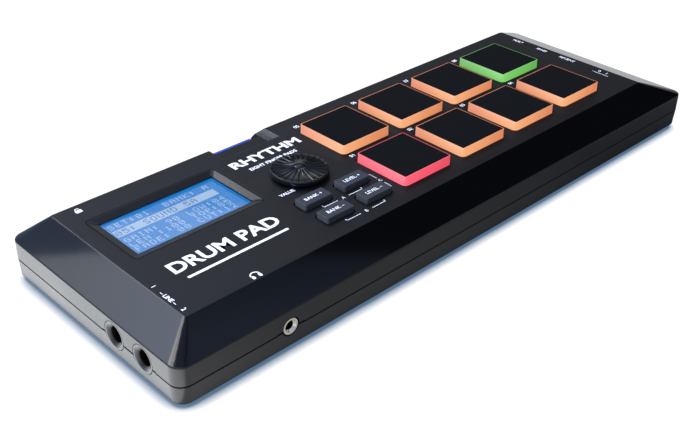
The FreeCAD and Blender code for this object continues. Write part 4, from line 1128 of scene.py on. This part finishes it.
class DRUMPAD_OT_underside(bpy.types.Operator):
    """Builds the case screws with crossed driver slots, and the four rubber feet."""

    bl_idname = "drumpad.underside"
    bl_label = "Underside"

    def execute(self, context):
        tree = grid_tree()
        self.build_screws(tree, context.scene.drum_pad_sizes)
        self.build_feet(tree, context.scene.drum_pad_sizes)
        return {"FINISHED"}

    def build_screws(self, tree, sizes):
        """Ten screws, heads down."""
        low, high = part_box("case_screws")
        head, shank = sizes.screw_head, sizes.screw_shank
        head_top = low.z + sizes.screw_head_height
        arm = head * 0.62
        slot = head * 0.17
        depth = 1.1 * MM
        count = 24

        def cross(z, scale):
            """The points of the driver slot's cross."""
            points = []
            for step in range(count):
                angle = 2 * math.pi * step / count
                along = max(abs(math.cos(angle)), abs(math.sin(angle)))
                across = max(min(abs(math.cos(angle)), abs(math.sin(angle))), 0.001)
                radius = max(min(arm / along, slot / across), slot / along) * scale
                points.append((radius * math.cos(angle), radius * math.sin(angle), z))
            return points

        rings = [cross(low.z + depth, 0.45), cross(low.z + 0.1 * MM, 0.95), cross(low.z, 1.0)]
        for radius, z in (
            (head * 0.72, low.z),
            (head * 0.93, low.z + 0.25 * MM),
            (head, low.z + 0.6 * MM),
            (head, head_top),
            (shank, head_top),
            (shank, high.z),
        ):
            rings.append(ring_loop(0, 0, z, radius, count))
        self.set_out(tree, rings, "case_screw", "case_screws", head, (5, 2), "black_zinc", "screw_steel")

    def build_feet(self, tree, sizes):
        """Four round feet with a soft lower edge and a shallow ring."""
        low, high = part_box("rubber_feet")
        radius = 6.0 * MM
        soft = sizes.foot_round
        profile = (
            (radius * 0.45, low.z + 0.35 * MM),
            (radius * 0.58, low.z + 0.3 * MM),
            (radius * 0.64, low.z + 0.03 * MM),
            (radius * 0.7, low.z),
            (radius - soft, low.z),
            (radius - 0.3 * soft, low.z + 0.3 * soft),
            (radius, low.z + soft),
            (radius, high.z),
        )
        rings = [ring_loop(0, 0, z, reach, 40) for reach, z in profile]
        self.set_out(tree, rings, "rubber_foot", "rubber_feet", radius, (2, 2), "foot_rubber", "foot_rubber")

    def set_out(self, tree, rings, name, node, reach, grid, finish_name, slot):
        """Copies one turned shape onto the places of a CAD node's solids, in columns and rows."""
        builder = bmesh.new()
        loft(builder, rings)
        master = bpy.data.objects.new(name, mesh_from(builder, name))
        low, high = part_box(node)
        x, y = middle(node).xy
        values = {
            "Piece": master,
            "Columns": grid[0],
            "Rows": grid[1],
            "Length": high.x - low.x - 2 * reach,
            "Width": high.y - low.y - 2 * reach,
            "Place": (x, y, 0.0),
            "Material": finish(finish_name),
        }
        mesh = shape_from_tree(name + "_set", tree, values)
        bpy.data.objects.remove(master)
        piece(name + "_set", mesh, finish_name, "case", [node])


class DRUMPAD_OT_labels(bpy.types.Operator):
    """Prints the plain marks on the top face."""

    bl_idname = "drumpad.labels"
    bl_label = "Labels"

    def execute(self, context):
        for name, draw in (
            ("pad_number_print", self.draw_pad_numbers),
            ("socket_print", self.draw_socket_marks),
            ("key_line_print", self.draw_key_lines),
            ("title_print", self.draw_titles),
        ):
            builder = bmesh.new()
            draw(builder, context.scene.drum_pad_sizes)
            piece(name, builder, "ink", "case")
        return {"FINISHED"}

    def draw_pad_numbers(self, builder, sizes):
        """A number behind the rear left corner of each pad."""
        for number in range(1, PAD_COUNT + 1):
            centre = middle("pad_top_%d" % number)
            x = centre.x - 12.4 * MM
            y = centre.y + 19.0 * MM
            add_words(builder, "%02d" % number, x, y, sizes.number_height, 0.05 * MM)

    def draw_socket_marks(self, builder, sizes):
        """Marks next to the sockets in the two ends, the front and the rear."""
        low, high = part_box("upper_shell")
        rear_jack = middle("line_jack_left").y
        front_jack = middle("line_jack_right").y
        switch = middle("power_switch_body").y
        left = low.x + 18.3 * MM
        right = high.x - 19.5 * MM
        # Words that read from the end: the words, their place and how far the ink widens them
        for words, x, y, stroke in (
            ("1", left, rear_jack + 0.6 * MM, 0.05),
            ("2", left, front_jack - 0.1 * MM, 0.05),
            ("– LINE –", left - 0.2 * MM, (rear_jack + front_jack) / 2, 0.05),
            ("PORT", right, middle("data_port_shell").y, 0.04),
            ("SEND", right, middle("control_jack_out").y, 0.04),
            ("RECEIVE", right, middle("control_jack_in").y, 0.04),
            ("0    1", right, switch, 0.04),
        ):
            add_words(builder, words, x, y, sizes.label_height, stroke * MM, -math.pi / 2)
        rail = right - 2.4 * MM
        half = 4.5 * MM
        add_line(builder, [(rail, switch + half), (rail, switch - half)], sizes.line_width)
        self.draw_headphones(builder, middle("phones_jack_ring").x, low.y + 19.2 * MM)
        self.draw_padlock(builder, middle("lock_plate").x, high.y - 9.6 * MM)

    def draw_headphones(self, builder, x, y):
        """A band with two ear cups."""
        radius = 2.0 * MM
        add_arc(builder, x, y, radius, -10, 190, 0.55 * MM)
        for side in (-1, 1):
            cup = (x + side * radius * 0.8, y - 0.7 * MM, TOP_Z, 1.3 * MM, 2.0 * MM, 0.4 * MM)
            add_plate(builder, round_loop(*cup, SMALL_CORNER_STEPS))

    def draw_padlock(self, builder, x, y):
        """A body with a shackle."""
        body = (x, y, TOP_Z, 2.9 * MM, 2.1 * MM, 0.3 * MM)
        add_plate(builder, round_loop(*body, SMALL_CORNER_STEPS))
        add_arc(builder, x, y + 1.35 * MM, 0.85 * MM, 0, 180, 0.4 * MM)

    def draw_key_lines(self, builder, sizes):
        """Brackets that pair the keys, and the dial's word."""
        width = sizes.line_width
        letter = 2.3 * MM
        stroke = 0.02 * MM
        gap = 3.4 * MM
        tick = 1.1 * MM
        left = middle("key_cap_1").x
        right = middle("key_cap_2").x
        x = (left + right) / 2
        rear_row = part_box("key_cap_3")[0].y - 1.6 * MM
        front_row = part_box("key_cap_1")[0].y - 2.0 * MM
        for y, mark in ((rear_row, "A"), (front_row, "B")):
            add_line(builder, [(left, y + tick), (left, y), (x - gap, y)], width)
            add_line(builder, [(x + gap, y), (right, y), (right, y + tick)], width)
            add_words(builder, mark, x, y, letter, stroke)
        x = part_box("key_cap_2")[1].x + 2.0 * MM
        rear = middle("key_cap_4").y
        front = middle("key_cap_2").y
        y = (rear + front) / 2
        add_line(builder, [(x - tick, rear), (x, rear), (x, y + gap * 0.7)], width)
        add_line(builder, [(x, y - gap * 0.7), (x, front), (x - tick, front)], width)
        add_words(builder, "C", x, y, letter, stroke)
        dial = middle("data_dial")
        add_words(builder, "VALUE", dial.x - 14.6 * MM, dial.y - 8.4 * MM, 2.6 * MM, 0.05 * MM)

    def draw_titles(self, builder, sizes):
        """A title with a line under it before the display, and two rows of words behind the dial."""
        x = middle("display_bezel").x
        y = -12.6 * MM
        add_words(builder, "DRUM PAD", x - 0.5 * MM, y, sizes.title_height, 0.26 * MM, stretch=1.06)
        y = -20.4 * MM
        half = 23.5 * MM
        add_line(builder, [(x - half, y), (x + half, y)], 1.3 * MM)
        x, y = middle("data_dial").xy
        add_words(builder, "EIGHT FINGER PADS", x - 0.4 * MM, y + 16.6 * MM, 2.9 * MM, 0.08 * MM)
        add_words(builder, "RHYTHM", x + 1.0 * MM, y + 23.4 * MM, 7.4 * MM, 0.24 * MM, stretch=1.3)


class DRUMPAD_OT_inside(bpy.types.Operator):
    """Finishes the boards, switches and cables inside the case."""

    bl_idname = "drumpad.inside"
    bl_label = "Inside"

    def execute(self, context):
        dress("laminate", "main_board", "pad_board", "jack_board", "end_board")
        dress("chip_epoxy", "board_chips")
        dress("lamp_resin", "pad_leds")
        dress("sensor_film", "pad_sensors")
        dress("tinned_steel", "lcd_frame", "encoder_body")
        dress("switch_case", "key_switches")
        dress("cable_vinyl", "ribbon_cables")
        dress("black_zinc", "board_screws")
        return {"FINISHED"}


class DRUMPAD_OT_stage(bpy.types.Operator):
    """Sets the floor, the lamps, the world and the camera."""

    bl_idname = "drumpad.stage"
    bl_label = "Stage"

    def execute(self, context):
        stage = context.scene.drum_pad_stage
        context.scene.view_settings.view_transform = "Standard"
        self.build_floor(context, stage)
        self.build_world(context, stage)
        self.build_lamps(context, stage)
        self.build_camera(context, stage)
        return {"FINISHED"}

    def build_floor(self, context, stage):
        """A pale floor: white to the camera, with a cool shadow round the object's foot."""
        half = 4.0
        corners = [(-half, -half, 0), (half, -half, 0), (half, half, 0), (-half, half, 0)]
        mesh = bpy.data.meshes.new("floor")
        mesh.from_pydata(corners, [], [(0, 1, 2, 3)])
        floor = bpy.data.objects.new("floor", mesh)
        context.scene.collection.objects.link(floor)
        material, tree = new_material("pale_paper_floor")
        mesh.materials.append(material)
        paper = add_node(tree, "ShaderNodeBsdfDiffuse", inputs={"Color": stage.floor_grey})
        rays = add_node(tree, "ShaderNodeLightPath").outputs
        inputs = {"Distance": stage.shadow_reach}
        open_sky = add_node(tree, "ShaderNodeAmbientOcclusion", inputs=inputs).outputs["AO"]
        # The shadow is full where less than 0.44 of the sky is open, and gone from 0.78
        open_share = derive(tree, "SPREAD", open_sky, 0.44, 0.78, 0.0, 1.0)
        tint = derive(tree, "BLEND", open_share, stage.shadow_colour, stage.floor_colour)
        # How much of this white the case mirrors, by the place along it: most beside the left end
        # and beyond the right end, and least in front of the right half
        along = object_axis(tree, "X")
        share = stage.shine_share
        near = derive(tree, "SPREAD", along, -0.15, -0.1, share * 7.0, 0.0)
        far = derive(tree, "SPREAD", along, -0.1, 0.1, share * 6.6, share)
        beyond = derive(tree, "SPREAD", along, 0.2, 0.24, 0.0, share * 11.0)
        mirrored = derive(tree, "ADD", near, far, beyond)
        mirrored = derive(tree, "MULTIPLY", rays["Is Glossy Ray"], mirrored)
        seen = derive(tree, "MAXIMUM", rays["Is Camera Ray"], rays["Is Transmission Ray"], mirrored)
        glow = add_node(tree, "ShaderNodeEmission", inputs={"Color": tint, "Strength": seen})
        inputs = {0: paper.outputs[0], 1: glow.outputs[0]}
        both = add_node(tree, "ShaderNodeAddShader", inputs=inputs)
        add_node(tree, "ShaderNodeOutputMaterial", inputs={"Surface": both.outputs[0]})

    def build_world(self, context, stage):
        """White to the camera. The rest sees a room: pale low down, a cool wall at the left and
        behind, a dark side at the right under a dim ceiling, and two narrow lights that draw
        the case's edges. A turn goes from behind the object towards its right, and a rise from
        the floor up, both in degrees. A change is a turn or a rise, where it starts and ends, and
        the shares of light before and after it."""
        world = bpy.data.worlds.new("studio")
        context.scene.world = world
        tree = empty_tree(world)
        rays = add_node(tree, "ShaderNodeLightPath").outputs
        place = add_node(tree, "ShaderNodeTexCoord").outputs["Generated"]
        way = add_node(tree, "ShaderNodeSeparateXYZ", inputs={"Vector": place}).outputs
        degrees = 180 / math.pi
        turn = derive(tree, "MULTIPLY", derive(tree, "ARCTAN2", way["X"], way["Y"]), degrees)
        rise = derive(tree, "MULTIPLY", derive(tree, "ARCSINE", way["Z"]), degrees)
        slant = derive(tree, "ADD", rise, derive(tree, "MULTIPLY", turn, 0.585))

        def light(level, *changes):
            """A level times the shares that its changes give."""
            shares = [derive(tree, "SPREAD", *change) for change in changes]
            return derive(tree, "MULTIPLY", *shares, level)

        def strip(level, *limits):
            """A level inside its limits, and nothing outside."""
            inside = []
            for source, start, end in limits:
                inside.append(derive(tree, "GREATER_THAN", source, start))
                inside.append(derive(tree, "LESS_THAN", source, end))
            return derive(tree, "MULTIPLY", *inside, level)

        bright = stage.wall_light
        behind = light(
            bright,
            (rise, 31.6, 31.9, 0.06, 1.0),
            (turn, 36.0, 54.0, 1.0, 0.16),
            (turn, 62.0, 71.0, 1.0, 0.05),
            (turn, 6.0, 14.0, 0.0, 1.0),
            (rise, 56.0, 66.0, 1.0, 0.45),
        )
        left = light(bright, (turn, 6.0, 14.0, 1.0, 0.0), (rise, 41.6, 48.6, 0.8, 2.0))
        ceiling_edge = light(bright, (slant, 97.1, 97.5, 0.0, 0.23))
        ceiling = derive(tree, "ADD", ceiling_edge, light(bright, (slant, 97.5, 103.0, 0.0, 0.27)))
        low = light(1.0, (rise, 15.5, 21.0, 0.72, 0.0), (turn, 32.0, 52.0, 1.0, 0.5))
        post = strip(bright * 7.0, (turn, 4.0, 14.0), (rise, 35.0, 47.0))
        corner = strip(bright * 4.4, (turn, -9.0, 13.0), (rise, 50.5, 61.0))
        edges = derive(tree, "MAXIMUM", post, corner)
        direct = derive(tree, "MAXIMUM", rays["Is Camera Ray"], rays["Is Transmission Ray"])
        level = derive(tree, "MAXIMUM", behind, left, ceiling, low, edges, direct)
        # The wall is cool at the left and high up. All else is white.
        cool_left = derive(tree, "SPREAD", turn, 22.0, 42.0, 1.0, 0.12)
        cool_high = derive(tree, "SPREAD", rise, 46.0, 52.0, 0.0, 1.0)
        neutral = derive(tree, "SUBTRACT", 1.0, derive(tree, "MAXIMUM", cool_left, cool_high))
        on_edges = derive(tree, "GREATER_THAN", edges, 0.5)
        neutral = derive(tree, "MAXIMUM", neutral, direct, on_edges)
        tint = derive(tree, "BLEND", neutral, stage.wall_colour, (1.0, 1.0, 1.0))
        back = add_node(tree, "ShaderNodeBackground", inputs={"Color": tint, "Strength": level})
        add_node(tree, "ShaderNodeOutputWorld", inputs={"Surface": back.outputs[0]})

    def build_lamps(self, context, stage):
        """Soft boxes at the left, behind, in front and overhead, and a pale card on the table."""
        target = Vector((0.0, 0.0, TOP_Z))
        level = Euler((0.0, 0.0, math.radians(-58.7)))
        upwards = Euler((math.pi, 0.0, 0.0))
        # Name, place and size in metres, power, and a turn for those that don't face the object
        for name, place, size, power, turn in (
            ("left_lamp", (-1.15, 0.25, 0.42), (1.1, 0.7), stage.key_power, None),
            ("rear_lamp", (-0.354, 1.092, 1.25), (0.7, 0.6), stage.rear_power, level),
            ("front_lamp", (0.7, -1.2, 0.9), (1.0, 0.8), stage.fill_power, None),
            ("top_lamp", (-0.35, -0.15, 1.6), (1.3, 1.0), stage.top_power, None),
            ("table_card", (-0.23, 0.015, 0.001), (0.144, 0.18), stage.card_power, upwards),
        ):
            lamp = bpy.data.lights.new(name, "AREA")
            lamp.shape = "RECTANGLE"
            lamp.size, lamp.size_y = size
            lamp.energy = power
            lamp.color = stage.lamp_colour
            holder = bpy.data.objects.new(name, lamp)
            context.scene.collection.objects.link(holder)
            holder.visible_camera = False
            # The case mirrors only these two
            holder.visible_glossy = name in ("rear_lamp", "table_card")
            holder.location = place
            facing = (target - Vector(place)).to_track_quat("-Z", "Y").to_euler()
            holder.rotation_euler = turn or facing

    def build_camera(self, context, stage):
        """The photograph's viewing angle."""
        turn, rise = stage.azimuth, stage.elevation
        flat = math.cos(rise)
        back = Vector((math.sin(turn) * flat, -math.cos(turn) * flat, math.sin(rise)))
        level = Vector((0, 0, 1)).cross(back).normalized()
        upright = back.cross(level)
        right = math.cos(stage.roll) * level + math.sin(stage.roll) * upright
        up = math.cos(stage.roll) * upright - math.sin(stage.roll) * level
        camera = bpy.data.cameras.new("camera")
        camera.lens = stage.lens
        camera.shift_x = stage.shift
        camera.clip_start = 0.01
        holder = bpy.data.objects.new("camera", camera)
        context.scene.collection.objects.link(holder)
        target = Vector((stage.target_x, stage.target_y, TOP_Z))
        axes = Matrix((right, up, back)).transposed().to_4x4()
        holder.matrix_world = Matrix.Translation(target + back * stage.distance) @ axes
        context.scene.camera = holder


OPERATORS = (
    DRUMPAD_OT_case,
    DRUMPAD_OT_display,
    DRUMPAD_OT_pads,
    DRUMPAD_OT_dial,
    DRUMPAD_OT_keys,
    DRUMPAD_OT_jacks,
    DRUMPAD_OT_card,
    DRUMPAD_OT_underside,
    DRUMPAD_OT_labels,
    DRUMPAD_OT_inside,
    DRUMPAD_OT_stage,
)


class DRUMPAD_PT_panel(bpy.types.Panel):
    """Lists the steps of the model."""

    bl_idname = "DRUMPAD_PT_panel"
    bl_label = "Drum Pad"
    bl_space_type = "VIEW_3D"
    bl_region_type = "UI"
    bl_category = "Drum Pad"

    def draw(self, context):
        for operator in OPERATORS:
            self.layout.operator(operator.bl_idname)
        scene = context.scene
        for group in (scene.drum_pad_sizes, scene.drum_pad_colours, scene.drum_pad_stage):
            for name in group.__annotations__:
                self.layout.prop(group, name)


SETTINGS = {
    "drum_pad_colours": DrumPadColours,
    "drum_pad_sizes": DrumPadSizes,
    "drum_pad_stage": DrumPadStage,
}


def register():
    """Adds the settings, the operators and the panel."""
    for group in SETTINGS.values():
        bpy.utils.register_class(group)
    for operator in OPERATORS:
        bpy.utils.register_class(operator)
    bpy.utils.register_class(DRUMPAD_PT_panel)
    for name, group in SETTINGS.items():
        setattr(bpy.types.Scene, name, PointerProperty(type=group))


def unregister():
    """Takes them away again."""
    for name in SETTINGS:
        delattr(bpy.types.Scene, name)
    bpy.utils.unregister_class(DRUMPAD_PT_panel)
    for operator in reversed(OPERATORS):
        bpy.utils.unregister_class(operator)
    for group in SETTINGS.values():
        bpy.utils.unregister_class(group)


def main():
    """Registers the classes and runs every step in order."""
    register()
    for operator in OPERATORS:
        group, name = operator.bl_idname.split(".")
        getattr(getattr(bpy.ops, group), name)()


if __name__ == "__main__":
    main()
